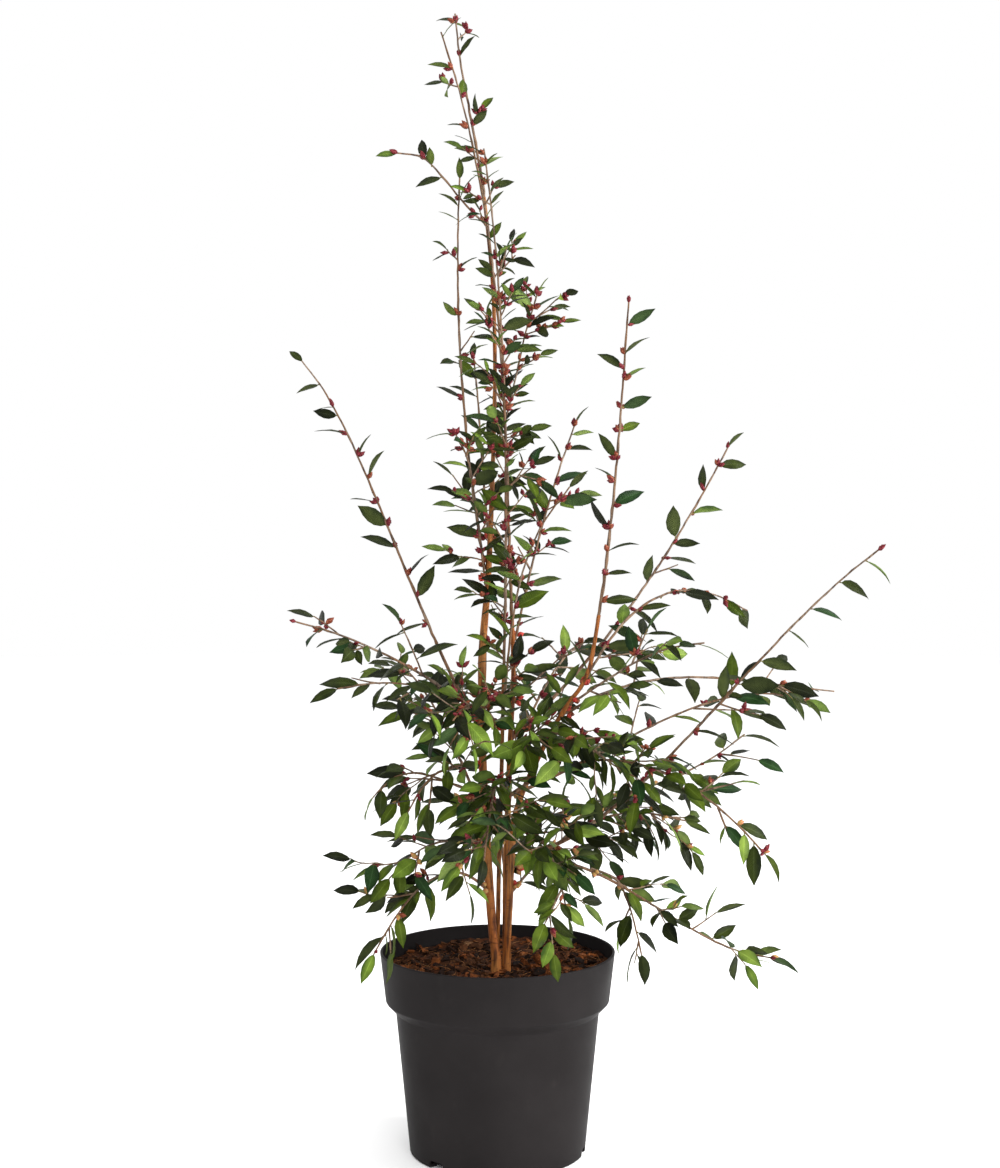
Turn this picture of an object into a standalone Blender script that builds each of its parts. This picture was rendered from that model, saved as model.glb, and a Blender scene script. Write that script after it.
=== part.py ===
"""A potted camellia, about 1.1 m tall with its pot.

A round nursery pot holds the soil. Four thin stems rise from it close together. Long boughs leave them on
both sides, to the front and to the back. Each bough is bare near the stem and ends in a spray, which is
one solid: a thin stem with side twigs, leaves and flower buds fused to it.

Metres, +Z up. The origin is the centre of the pot's flat underside, and the plant's front faces -Y.
"""

import math
import random
from dataclasses import dataclass

import bmesh
import bpy
from mathutils import Matrix, Vector, noise

OBJECT_NAME = "potted_camellia"
CLEARANCE = 0.0003
UP = Vector((0, 0, 1))
FRONT = Vector((0, -1, 0))

# Pot
POT_HEIGHT = 0.198
RIM_RADIUS = 0.115
LIP_RADIUS = 0.1097
LIP_HEIGHT = 0.150
BODY_TOP_RADIUS = 0.0998
BODY_TOP_HEIGHT = 0.1405
FOOT_RADIUS = 0.0862
FOOT_ROUNDING = 0.0025
POT_WALL = 0.0019
POT_FLOOR = 0.003
RIM_BEAD = 0.0012
POT_SIDES = 48
NOTCH_COUNT = 6
NOTCH_WIDTH = 0.018
NOTCH_HEIGHT = 0.008
NOTCH_DEPTH = 0.014
NOTCH_TURN = math.radians(17)

# Soil
SOIL_HEIGHT = 0.181
SOIL_EDGE_DROP = 0.002
SOIL_SLOPE = 0.004
SOIL_BUMP = 0.004
SOIL_BUMP_SCALE = 30
SOIL_LEVEL_RADIUS = 0.040
SOIL_CHAMFER = 0.013
SOIL_RING_SHARES = (0.25, 0.5, 0.75)

# Leaves and buds
LEAF_LENGTH = 0.038
LEAF_WIDTH = 0.40
LEAF_THICKNESS = 0.0013
LEAF_WIDEST = 0.45
LEAF_ROOT = 0.0004
HIGH_LEAF = 0.70
HIGH_FROM = 0.45
HIGH_TO = 0.85
LOW_HANG = 0.45
HIGH_HANG = 0.15
LEAF_ROLL = 0.75
LEAF_SPREAD = (30, 58)
BUD_LENGTH = 0.0085
BUD_RADIUS = 0.0024

# How far a stem stands upright on the soil before it leans
UPRIGHT_FOOT = 0.012

# Twigs
TWIG_ROOT_RADIUS = 0.0012
TWIG_TIP_RADIUS = 0.0007
SPRAY_TIP_RADIUS = 0.0008
TWIG_STEPS = 2
BOUGH_STEPS = 5
SPRAY_STEP = 0.045
TRIES = 5

# Room that a twig or a leaf keeps from what is already there
ROOM = 0.0009
CROWN_LEFT = -0.2185
CROWN_RIGHT = 0.353
CROWN_TOP = 1.107
CROWN_DEPTH = 0.24
CROWN_FOOT = 0.17


@dataclass
class Stem:
    """One of the four stems: its way up from the soil, its radius at each point of it, and its flare."""
    name: str
    way: tuple
    radii: tuple
    flare: float
    steps: int
    roundness: int


@dataclass
class Shoot:
    """A bough and its spray, from the limb it leaves to its far end."""
    name: str
    limb: str
    height: float
    tip: tuple
    near_bend: tuple
    far_bend: tuple
    bare: float
    radius: float
    leaf_gap: float
    twigs: int
    twig_length: float
    buds: float
    ends_in_leaf: bool = True
    right_share: float = 0.5
    hang: float = 0


STEMS = (
    Stem("trunk", ((-0.0015, -0.022, 0.181), (-0.0085, -0.015, 0.270), (-0.0145, -0.006, 0.386),
                   (-0.0145, 0.000, 0.493), (-0.0095, 0.000, 0.555), (-0.0055, 0.000, 0.645),
                   (-0.0025, 0.002, 0.760), (-0.0050, 0.002, 0.850), (-0.0130, 0.001, 0.930)),
         (0.0042, 0.0043, 0.0041, 0.0038, 0.0031, 0.0022, 0.0019, 0.0018, 0.0017), 1.25, 16, 4),
    Stem("second_stem", ((0.0085, 0.002, 0.181), (0.0085, 0.000, 0.280), (0.0125, 0.000, 0.405),
                         (0.0155, 0.003, 0.470), (0.0140, 0.004, 0.522)),
         (0.0035, 0.0034, 0.0027, 0.0023, 0.0020), 1.25, 8, 2),
    Stem("third_stem", ((-0.0010, 0.007, 0.181), (0.0005, -0.002, 0.235), (0.0015, -0.013, 0.290),
                        (0.0030, -0.024, 0.340), (0.0060, -0.024, 0.470)),
         (0.0025, 0.0023, 0.0022, 0.0021, 0.0018), 1.25, 8, 2),
    Stem("right_stem", ((0.0085, -0.016, 0.181), (0.0130, -0.019, 0.280), (0.0200, -0.024, 0.345),
                        (0.0580, -0.038, 0.429), (0.0850, -0.046, 0.472), (0.0960, -0.052, 0.530)),
         (0.0037, 0.0034, 0.0028, 0.0022, 0.0020, 0.0018), 1.25, 12, 2),
)

# Rows: name, limb, height on it (0 continues it from its top), tip, bend of the near and the far half,
# bare share, radius, distance between leaves, side twigs, length of the longest, chance of a bud, and
# where they differ from the usual, whether it ends in a leaf, the share of leaves on its right, and how much
# more than usual its twigs and leaves hang.
SHOOTS = (
    # The tops of the four stems
    Shoot("leader_top", "trunk", 0, (-0.041, 0.012, 1.107), (0.004, 0, 0), (-0.006, 0, 0),
          0, 0.0018, 0.032, 2, 0.032, 0.25, False),
    Shoot("second_top", "second_stem", 0, (-0.054, -0.008, 1.085), (0.041, -0.010, 0), (0.042, -0.026, 0),
          0, 0.0019, 0.034, 4, 0.036, 0.15),
    Shoot("third_top", "third_stem", 0, (-0.013, -0.024, 0.972), (0.026, -0.004, 0), (0.018, -0.010, 0),
          0, 0.0016, 0.034, 4, 0.038, 0.1),
    Shoot("right_top", "right_stem", 0, (0.122, -0.075, 0.824), (0.002, 0, 0), (0.002, 0, 0),
          0, 0.002, 0.0235, 0, 0, 0.3, False, 0.8),

    # Long boughs on the left, from the highest to the one that hangs over the rim
    Shoot("left_tall", "trunk", 0.422, (-0.199, 0.100, 0.779), (0, 0, -0.023), (0, 0, 0.059),
          0.22, 0.0018, 0.029, 0, 0, 0.3, right_share=0.25),
    Shoot("left_out", "trunk", 0.432, (-0.190, -0.080, 0.526), (0, 0, 0.017), (0, 0, 0.015),
          0.22, 0.0017, 0.028, 3, 0.050, 0.05, False, hang=0.25),
    Shoot("left_middle", "trunk", 0.356, (-0.112, -0.080, 0.366), (0, 0, 0.002), (0, 0, 0.039),
          0.22, 0.0016, 0.028, 2, 0.045, 0.05, hang=-0.1),
    Shoot("left_low", "trunk", 0.306, (-0.101, -0.090, 0.286), (0, 0, 0.018), (0, 0, 0.027),
          0.22, 0.0015, 0.023, 3, 0.045, 0.05),
    Shoot("left_hanging", "trunk", 0.262, (-0.113, -0.130, 0.224), (0, 0, 0.057), (0, 0, 0.048),
          0.3, 0.0015, 0.0235, 2, 0.040, 0),

    # Long boughs on the right
    Shoot("right_tall", "second_stem", 0.408, (0.238, 0.130, 0.692), (0, 0, -0.030), (0, 0, -0.040),
          0.30, 0.0019, 0.029, 1, 0.040, 0.25, right_share=0.7),
    Shoot("right_long", "second_stem", 0.290, (0.341, -0.160, 0.596), (0, 0, -0.085), (0, 0, 0.014),
          0.30, 0.0021, 0.034, 1, 0.040, 0.2, False, 0.75),
    Shoot("right_middle", "second_stem", 0.351, (0.312, 0.080, 0.435), (0, 0, 0.006), (0, 0, 0.062),
          0.22, 0.0018, 0.032, 3, 0.060, 0.05, hang=-0.1),
    Shoot("right_drooping", "third_stem", 0.350, (0.243, -0.140, 0.318), (0, 0, 0.080), (0, 0, 0.080),
          0.22, 0.0017, 0.026, 4, 0.055, 0.05, hang=-0.2),
    Shoot("right_short", "second_stem", 0.313, (0.257, 0.130, 0.394), (0, 0, 0.006), (0, 0, -0.033),
          0.25, 0.0017, 0.031, 3, 0.060, 0.05),
    Shoot("right_low", "right_stem", 0.285, (0.257, -0.090, 0.211), (0, 0, 0.059), (0, 0, -0.026),
          0.40, 0.0017, 0.027, 3, 0.040, 0.05, hang=-0.5),

    # Boughs to the front and to the back
    Shoot("front_low", "third_stem", 0.310, (0.064, -0.150, 0.262), (0, 0, 0.030), (0, 0, 0.085),
          0.25, 0.0015, 0.020, 4, 0.055, 0.05),
    Shoot("back_left", "trunk", 0.335, (-0.112, 0.160, 0.468), (0, 0, 0.030), (0, 0, 0.040),
          0.25, 0.0017, 0.030, 3, 0.065, 0.05),
    Shoot("back_right", "second_stem", 0.385, (0.090, 0.190, 0.480), (0, 0, 0.020), (0, 0, 0.035),
          0.25, 0.0017, 0.030, 3, 0.065, 0.05),
    Shoot("back_low", "second_stem", 0.270, (-0.010, 0.185, 0.290), (0, 0, 0.030), (0, 0, 0.055),
          0.25, 0.0016, 0.030, 3, 0.065, 0.05),

    # Sprays that leave a limb with no bare bough
    Shoot("right_arching", "right_stem", 0.462, (0.249, 0.050, 0.528), (0, 0, 0.084), (0, 0, 0.056),
          0, 0.0015, 0.027, 2, 0.045, 0.1),
    Shoot("right_forward", "right_stem", 0.448, (0.190, -0.110, 0.508), (0, 0, 0.010), (0, 0, 0.020),
          0, 0.0014, 0.0225, 3, 0.045, 0.05),
    Shoot("right_level", "right_stem", 0.436, (0.338, 0.060, 0.446), (0, 0, 0.051), (0, 0, 0.014),
          0, 0.0016, 0.034, 2, 0.055, 0.05, hang=-0.1),
    Shoot("right_inner", "second_stem", 0.445, (0.090, 0.030, 0.500), (0, 0, 0.004), (0, 0, 0.010),
          0, 0.0013, 0.0235, 2, 0.035, 0.2),
    Shoot("rim_hanging", "bough_right_low", 0.283, (0.139, -0.030, 0.200), (0, 0, 0.030), (0, 0, 0.050),
          0, 0.0013, 0.0235, 2, 0.035, 0.05),
    Shoot("front_hanging", "third_stem", 0.372, (-0.012, -0.160, 0.317), (0, 0, 0.031), (0, 0, 0.020),
          0, 0.0014, 0.019, 4, 0.055, 0.2),
    Shoot("front_bough", "third_stem", 0.420, (-0.040, -0.140, 0.440), (0, 0, 0.015), (0, 0, 0.030),
          0, 0.0014, 0.019, 4, 0.055, 0.2),
    Shoot("top_left", "trunk", 0.905, (-0.096, -0.030, 0.967), (0, 0, 0), (0, 0, 0.036),
          0, 0.0013, 0.0225, 0, 0, 0.3),
    Shoot("thin_left", "trunk", 0.575, (-0.036, -0.020, 0.945), (-0.012, 0.012, 0), (-0.014, 0.010, 0),
          0, 0.0015, 0.043, 2, 0.040, 0.1),
    Shoot("column_left", "trunk", 0.560, (-0.040, -0.060, 0.702), (0, 0, 0.050), (0, 0, 0.049),
          0, 0.0014, 0.019, 3, 0.036, 0.25),
    Shoot("column_right", "second_stem", 0.505, (0.076, 0.040, 0.712), (-0.006, 0, 0), (-0.006, 0, 0),
          0, 0.0015, 0.0255, 2, 0.034, 0.3),
    Shoot("column_front", "third_stem", 0.440, (0.068, -0.055, 0.651), (-0.013, -0.008, 0.045),
          (-0.022, 0, 0.022), 0, 0.0014, 0.0255, 2, 0.034, 0.25),
    Shoot("column_high", "trunk", 0.690, (0.039, 0.030, 0.840), (0, 0, -0.02), (0, 0, 0.02),
          0, 0.0013, 0.0255, 2, 0.035, 0.2),
    Shoot("column_back", "trunk", 0.600, (-0.024, 0.070, 0.780), (0, 0, -0.02), (0, 0, 0.03),
          0, 0.0014, 0.0255, 2, 0.040, 0.1),
    Shoot("left_under", "trunk", 0.449, (-0.152, -0.055, 0.460), (0, 0, 0.006), (0, 0, 0.014),
          0, 0.0014, 0.026, 2, 0.050, 0.05, hang=-0.1),
    Shoot("centre_left", "trunk", 0.380, (-0.084, -0.075, 0.346), (0, 0, 0.016), (0, 0, 0.034),
          0, 0.0014, 0.018, 4, 0.055, 0.05),
    Shoot("centre_right", "third_stem", 0.395, (0.100, -0.105, 0.400), (0, 0, 0.030), (0, 0, 0.030),
          0, 0.0014, 0.018, 5, 0.060, 0.05, hang=0.12),
    Shoot("low_right", "right_stem", 0.262, (0.186, 0.025, 0.321), (0, 0, 0.055), (0, 0, 0.040),
          0, 0.0014, 0.0225, 3, 0.050, 0.05),
)


def smooth_way(points, steps):
    """Points at even shares of a smooth curve through the given ones (Catmull-Rom)."""
    marks = [Vector(point) for point in points]
    first = marks[0] * 2 - marks[1]
    last = marks[-1] * 2 - marks[-2]
    marks = [first] + marks + [last]
    spans = len(marks) - 3
    way = []
    for step in range(steps + 1):
        place = spans * step / steps
        index = min(int(place), spans - 1)
        share = place - index
        before, start, end, after = marks[index:index + 4]
        way.append((start * 2 + (end - before) * share
                    + (before * 2 - start * 5 + end * 4 - after) * share ** 2
                    + (start * 3 - before - end * 3 + after) * share ** 3) * 0.5)
    return way


def arched_way(start, near, far, end, steps):
    """Points at even shares of a Bezier curve."""
    way = []
    for step in range(steps + 1):
        share = step / steps
        rest = 1 - share
        way.append(start * rest ** 3 + near * (3 * rest ** 2 * share)
                   + far * (3 * rest * share ** 2) + end * share ** 3)
    return way


def way_length(way):
    return sum((end - start).length for start, end in zip(way, way[1:]))


def point_on(way, distance):
    """The point at a distance along a way, and the way's direction there."""
    for start, end in zip(way, way[1:]):
        span = (end - start).length
        if distance <= span:
            break
        distance -= span
    else:
        distance = span
    direction = (end - start).normalized()
    return start + direction * distance, direction


def part_of(way, begin, finish, steps):
    """The stretch of a way between two shares of its length."""
    length = way_length(way)
    return [point_on(way, length * (begin + (finish - begin) * step / steps))[0]
            for step in range(steps + 1)]


def tapered(first, last, count):
    return [first + (last - first) * index / (count - 1) for index in range(count)]


class Limb:
    """A stem or bough as a way with a radius at each of its points."""

    BALL_STEP = 0.003

    def __init__(self, way, radii):
        self.way = way
        self.radii = radii

    def at_height(self, height):
        """Centre, direction and radius where the limb passes a height."""
        pairs = list(zip(self.way, self.way[1:], self.radii, self.radii[1:]))
        for start, end, first, last in pairs:
            if (start.z - height) * (end.z - height) <= 0:
                share = (height - start.z) / (end.z - start.z)
                return start.lerp(end, share), (end - start).normalized(), first + (last - first) * share
        raise ValueError("no point of the limb is at this height")

    def balls(self):
        """Small balls that fill the limb."""
        filled = []
        for start, end, first, last in zip(self.way, self.way[1:], self.radii, self.radii[1:]):
            count = max(1, math.ceil((end - start).length / self.BALL_STEP))
            for index in range(count):
                share = index / count
                filled.append((start.lerp(end, share), first + (last - first) * share))
        filled.append((self.way[-1], self.radii[-1]))
        return filled


class Air:
    """What already grows, as balls in a grid of cells, so that a new twig or leaf can be tried first."""

    CELL = 0.02

    def __init__(self):
        self.cells = {}

    def cell(self, point):
        return tuple(math.floor(value / self.CELL) for value in point)

    def fill(self, owner, balls):
        for centre, radius in balls:
            self.cells.setdefault(self.cell(centre), []).append((centre, radius, owner))

    def is_free(self, balls, parent):
        """Whether balls are clear of everything except the twig that they grow from."""
        for centre, radius in balls:
            column, row, layer = self.cell(centre)
            for step in range(27):
                key = (column + step % 3 - 1, row + step // 3 % 3 - 1, layer + step // 9 - 1)
                for other, other_radius, owner in self.cells.get(key, ()):
                    if owner != parent and (other - centre).length < radius + other_radius + ROOM:
                        return False
        return True


def in_crown(balls):
    """Whether balls stay within the crown's reach and out of the pot."""
    for centre, radius in balls:
        if not CROWN_LEFT < centre.x - radius or not centre.x + radius < CROWN_RIGHT:
            return False
        if centre.z + radius > CROWN_TOP or abs(centre.y) + radius > CROWN_DEPTH:
            return False
        from_axis = math.hypot(centre.x, centre.y)
        if centre.z - radius < POT_HEIGHT and from_axis - radius < RIM_RADIUS + ROOM:
            return False
        if centre.z - radius < CROWN_FOOT:
            return False
    return True


@dataclass
class Leaf:
    """A leaf or bud: where it roots, which way it points, which way its face turns, and its size."""
    root: Vector
    along: Vector
    face: Vector
    length: float
    droop: float

    def centre_line(self, share):
        sag = self.droop * self.length * max(0, share - LEAF_WIDEST) / (1 - LEAF_WIDEST)
        return self.root + self.along * (self.length * share) - self.face * sag

    def balls(self):
        width = self.length * LEAF_WIDTH
        shape = ((0.18, 0.22), (0.38, 0.46), (0.58, 0.42), (0.78, 0.25), (0.95, 0.08))
        return [(self.centre_line(share), width * half) for share, half in shape]


@dataclass
class Twig:
    """A twig's way and the radius at its root and tip."""
    way: list
    root_radius: float
    tip_radius: float

    def limb(self):
        return Limb(self.way, tapered(self.root_radius, self.tip_radius, len(self.way)))


def side_of(direction):
    """The sideways direction in which leaves leave a twig: level on a level twig, in the picture's plane
    on an upright one."""
    upright = min(1, max(0, (abs(direction.z) - 0.35) / 0.4))
    plane = UP * (1 - upright) + FRONT * upright
    return direction.cross(plane).normalized()


def turned_from(direction, side, spread, roll):
    """A direction that leaves another at an angle, on one side of it, rolled round it."""
    outward = Matrix.Rotation(roll, 3, direction) @ side
    return (direction * math.cos(spread) + outward * math.sin(spread)).normalized()


def high_share(height):
    """0 in the lower crown, rising to 1 at the top."""
    return min(1, max(0, (height - HIGH_FROM) / (HIGH_TO - HIGH_FROM)))


def leaf_size(height):
    """The usual length of a leaf: leaves get smaller towards the top."""
    return LEAF_LENGTH * (1 - (1 - HIGH_LEAF) * high_share(height))


def leaf_from(rng, root, direction, side, more_hang):
    """A leaf that leaves a twig sideways and hangs, more so in the lower crown, its face turned up and
    rolled at random."""
    along = turned_from(direction, side, math.radians(rng.uniform(*LEAF_SPREAD)), rng.uniform(-0.6, 0.6))
    hang = LOW_HANG + (HIGH_HANG - LOW_HANG) * high_share(root.z)
    along = (along - UP * (rng.uniform(0, hang) + more_hang)).normalized()
    face = (UP - along * along.z).normalized()
    face = Matrix.Rotation(rng.gauss(0, LEAF_ROLL), 3, along) @ face
    return Leaf(root, along, face, leaf_size(root.z) * rng.uniform(0.72, 1.12), rng.uniform(0.12, 0.34))


def end_face(along, index):
    """The way an end leaf's face turns: up, and rolled a little to the one side or to the other."""
    roll = LEAF_ROLL if index % 2 else -LEAF_ROLL
    return Matrix.Rotation(roll, 3, along) @ (UP - along * along.z).normalized()


def bud_from(rng, root, direction, side):
    """A bud at a leaf's foot, on the part of the twig that the leaf leaves free."""
    along = turned_from(direction, side, math.radians(rng.uniform(25, 55)), rng.uniform(1.3, 5.0))
    return Leaf(root, along, side, BUD_LENGTH * rng.uniform(0.8, 1.15), 0)


class Spray:
    """The leafy end of a shoot: a stem with side twigs, leaves and buds."""

    def __init__(self, shoot, stem, toward):
        self.shoot = shoot
        self.stem = stem
        self.toward = toward
        self.rng = random.Random(shoot.name)
        self.twigs = []
        self.leaves = []
        self.buds = []

    def owner(self, index):
        return (self.shoot.name, index)

    def grow(self, air):
        """Side twigs first, then leaves and buds along the stem and along each twig."""
        self.grow_twigs(air)
        for index, twig in enumerate([self.stem, *self.twigs]):
            self.grow_leaves(air, twig, index)

    def grow_twigs(self, air):
        length = way_length(self.stem.way)
        side = self.rng.choice((-1, 1))
        for index in range(self.shoot.twigs):
            share = 0.06 + 0.80 * (index + self.rng.uniform(0.1, 0.9)) / self.shoot.twigs
            root, direction = point_on(self.stem.way, length * share)
            side = -side
            reach = self.shoot.twig_length * self.rng.uniform(0.7, 1.0) * (1.15 - 0.45 * share)
            for _ in range(TRIES):
                away = turned_from(direction, side_of(direction) * side,
                                   math.radians(self.rng.uniform(32, 58)), self.rng.uniform(-0.8, 0.8))
                away = (away - UP * self.shoot.hang).normalized()
                lift = UP * (reach * self.rng.uniform(-0.16, 0.14))
                end = root + away * reach + lift
                way = arched_way(root, root + away * (reach * 0.33), end - away * (reach * 0.33) + lift * 0.5,
                                 end, TWIG_STEPS)
                twig = Twig(way, TWIG_ROOT_RADIUS, TWIG_TIP_RADIUS)
                balls = [ball for ball in twig.limb().balls() if (ball[0] - root).length > 0.006]
                if air.is_free(balls, self.owner(0)) and in_crown(balls):
                    self.twigs.append(twig)
                    air.fill(self.owner(len(self.twigs)), balls)
                    break

    def next_side(self, side):
        """Leaves alternate, except on a shoot that keeps more of them on one side."""
        if self.shoot.right_share == 0.5:
            return -side
        return 1 if self.rng.random() < self.shoot.right_share else -1

    def grow_leaves(self, air, twig, index):
        gap = self.shoot.leaf_gap
        length = way_length(twig.way)
        distance = gap * self.rng.uniform(0.35, 0.7)
        side = self.rng.choice((-1, 1))
        while distance < length - 0.003:
            root, direction = point_on(twig.way, distance)
            across = side_of(direction) * side
            for _ in range(TRIES):
                leaf = leaf_from(self.rng, root, direction, across, self.shoot.hang)
                if self.keep(air, self.leaves, leaf, index):
                    break
            if self.rng.random() < self.shoot.buds:
                self.keep(air, self.buds, bud_from(self.rng, root, direction, across), index)
            side = self.next_side(side)
            distance += gap * self.rng.uniform(0.8, 1.2)
        self.end_twig(air, twig, index)

    def end_twig(self, air, twig, index):
        """A leaf at the end of a twig, or a bud at the end of a stem that has no end leaf."""
        end, direction = point_on(twig.way, way_length(twig.way))
        if index or self.shoot.ends_in_leaf:
            along = (direction - UP * 0.15).normalized()
            leaf = Leaf(end - direction * 0.002, along, end_face(along, index), leaf_size(end.z) * 0.8, 0.2)
            self.keep(air, self.leaves, leaf, index)
        else:
            self.keep(air, self.buds, Leaf(end - direction * 0.002, direction, UP, BUD_LENGTH, 0), index)

    def keep(self, air, group, leaf, index):
        """Adds a leaf or bud where nothing else is."""
        balls = leaf.balls()
        if not (air.is_free(balls, self.owner(index)) and in_crown(balls)):
            return False
        group.append(leaf)
        air.fill((self.shoot.name, "leaf"), balls)
        return True


def stem_radius(stem, share):
    """A stem's radius at a share of its way: straight between the radii at its points."""
    spans = len(stem.radii) - 1
    index = min(int(spans * share), spans - 1)
    return stem.radii[index] + (stem.radii[index + 1] - stem.radii[index]) * (spans * share - index)


def grow_stem(stem):
    """A stem's limb, upright where it leaves the soil, with a flare at its foot."""
    way = smooth_way(stem.way, stem.steps)
    radii = [stem_radius(stem, step / stem.steps) for step in range(stem.steps + 1)]
    foot = Vector(stem.way[0])
    foot.z = SOIL_HEIGHT + CLEARANCE
    upright = foot + UP * UPRIGHT_FOOT
    way[:1] = [foot, upright, upright.lerp(way[1], 0.5)]
    radii[:1] = [radii[0] * stem.flare, radii[0] * (1 + (stem.flare - 1) * 0.35), radii[0]]
    return Limb(way, radii)


def shoot_way(shoot, limb):
    """The whole way of a shoot, and the direction towards the limb that it leaves."""
    tip = Vector(shoot.tip)
    if shoot.height == 0:
        centre = limb.way[-1]
        direction = (limb.way[-1] - limb.way[-2]).normalized()
        start = centre + direction * CLEARANCE
        near = start.lerp(tip, 1 / 3) + Vector(shoot.near_bend)
        near = start + direction * (near - start).length
        toward = side_of(direction)
    else:
        centre, limb_direction, limb_radius = limb.at_height(shoot.height)
        near = centre.lerp(tip, 1 / 3) + Vector(shoot.near_bend)
        direction = (near - centre).normalized()
        outward = (direction - limb_direction * direction.dot(limb_direction)).normalized()
        cap = shoot.radius * math.sqrt(max(0, 1 - direction.dot(outward) ** 2))
        start = centre + outward * (limb_radius + CLEARANCE + cap)
        near = start + (near - centre)
        toward = -outward
    far = start.lerp(tip, 2 / 3) + Vector(shoot.far_bend)
    return arched_way(start, near, far, tip, 24), toward


def spray_steps(way):
    return max(4, round(way_length(way) / SPRAY_STEP))


def grow_plant():
    """Every stem, bough and spray of the plant, all clear of each other."""
    air = Air()
    stems = {stem.name: grow_stem(stem) for stem in STEMS}
    limbs = dict(stems)
    sprays = []
    for shoot in SHOOTS:
        way, toward = shoot_way(shoot, limbs[shoot.limb])
        if shoot.bare:
            edge = CLEARANCE / way_length(way)
            bough = part_of(way, 0, shoot.bare, BOUGH_STEPS)
            tip_radius = shoot.radius + (SPRAY_TIP_RADIUS - shoot.radius) * shoot.bare
            limbs["bough_" + shoot.name] = Limb(bough, tapered(shoot.radius, tip_radius, len(bough)))
            leafy = part_of(way, shoot.bare + edge, 1, spray_steps(way))
        else:
            tip_radius = shoot.radius
            leafy = part_of(way, 0, 1, spray_steps(way))
        spray_radius = min(tip_radius, 0.0017)
        sprays.append(Spray(shoot, Twig(leafy, spray_radius, SPRAY_TIP_RADIUS), toward))
    for name, limb in limbs.items():
        air.fill((name, 0), limb.balls())
    for spray in sprays:
        air.fill(spray.owner(0), spray.stem.limb().balls())
    for spray in sprays:
        spray.grow(air)
    return stems, {name: limb for name, limb in limbs.items() if name not in stems}, sprays


def clear_scene():
    for item in list(bpy.data.objects):
        bpy.data.objects.remove(item, do_unlink=True)


def make_collection(name):
    collection = bpy.data.collections.new(name)
    bpy.context.scene.collection.children.link(collection)
    return collection


def make_material(name, colour, roughness):
    material = bpy.data.materials.new(name)
    material.use_nodes = True
    shader = material.node_tree.nodes["Principled BSDF"]
    shader.inputs["Base Color"].default_value = (*colour, 1)
    shader.inputs["Roughness"].default_value = roughness
    shader.inputs["Metallic"].default_value = 0
    return material


def add_object(collection, name, data, material=None):
    item = bpy.data.objects.new(name, data)
    collection.objects.link(item)
    if material:
        data.materials.append(material)
    return item


def mesh_of(shape, name):
    """Turns a bmesh into a mesh, with its faces pointing out."""
    bmesh.ops.recalc_face_normals(shape, faces=shape.faces)
    mesh = bpy.data.meshes.new(name)
    shape.to_mesh(mesh)
    shape.free()
    return mesh


def baked_mesh(item):
    """The evaluated mesh of an object, whose modifiers are then part of it."""
    graph = bpy.context.evaluated_depsgraph_get()
    return bpy.data.meshes.new_from_object(item.evaluated_get(graph))


def turned_shape(collection, name, profile, sides, material=None):
    """A solid turned from a profile of radius and height that begins and ends on the axis."""
    shape = bmesh.new()
    points = [shape.verts.new((radius, 0, height)) for radius, height in profile]
    for start, end in zip(points, points[1:]):
        shape.edges.new((start, end))
    mesh = bpy.data.meshes.new(name)
    shape.to_mesh(mesh)
    shape.free()
    item = add_object(collection, name, mesh, material)
    screw = item.modifiers.new("Turn", "SCREW")
    screw.steps = sides
    screw.render_steps = sides
    screw.use_merge_vertices = True
    screw.merge_threshold = 0.0001
    return item


def pot_profile():
    """Inside floor, inside wall, rim and outside wall of the pot, down to the middle of its underside."""
    foot_inside = FOOT_RADIUS - POT_WALL
    rim_inside = RIM_RADIUS - POT_WALL
    return (
        (0, POT_FLOOR), (foot_inside, POT_FLOOR),
        (BODY_TOP_RADIUS - POT_WALL, BODY_TOP_HEIGHT + POT_WALL),
        (LIP_RADIUS - POT_WALL, LIP_HEIGHT + POT_WALL),
        (rim_inside, POT_HEIGHT - RIM_BEAD), (rim_inside + POT_WALL * 0.3, POT_HEIGHT),
        (RIM_RADIUS - POT_WALL * 0.3, POT_HEIGHT), (RIM_RADIUS, POT_HEIGHT - RIM_BEAD),
        (LIP_RADIUS, LIP_HEIGHT), (BODY_TOP_RADIUS, BODY_TOP_HEIGHT),
        (FOOT_RADIUS, FOOT_ROUNDING), (FOOT_RADIUS - FOOT_ROUNDING, 0), (0, 0),
    )


def make_pot(parts, cutters):
    """The pot, with the drain notches in the edge of its underside."""
    plastic = make_material("charcoal_plastic", (0.035, 0.033, 0.034), 0.55)
    pot = turned_shape(parts, "pot", pot_profile(), POT_SIDES, plastic)
    for index in range(NOTCH_COUNT):
        angle = NOTCH_TURN + math.tau * index / NOTCH_COUNT - math.pi / 2
        shape = bmesh.new()
        size = (NOTCH_DEPTH + 0.01, NOTCH_WIDTH, NOTCH_HEIGHT * 2)
        bmesh.ops.create_cube(shape, matrix=Matrix.Diagonal((*size, 1)))
        notch = add_object(cutters, f"drain_notch_{index + 1}", mesh_of(shape, "drain_notch"))
        away = FOOT_RADIUS - NOTCH_DEPTH + size[0] / 2
        notch.location = (away * math.cos(angle), away * math.sin(angle), 0)
        notch.rotation_euler.z = angle
        notch.hide_render = True
        notch.display_type = "WIRE"
        cut = pot.modifiers.new(f"Drain {index + 1}", "BOOLEAN")
        cut.operation = "DIFFERENCE"
        cut.object = notch


def soil_radius(height):
    """The radius of the soil at a height, just clear of the pot's inside wall."""
    inside = pot_profile()[1:5]
    for (radius, low), (wider, high) in zip(inside, inside[1:]):
        if height <= high:
            break
    return radius + (wider - radius) * (height - low) / (high - low) - CLEARANCE


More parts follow.
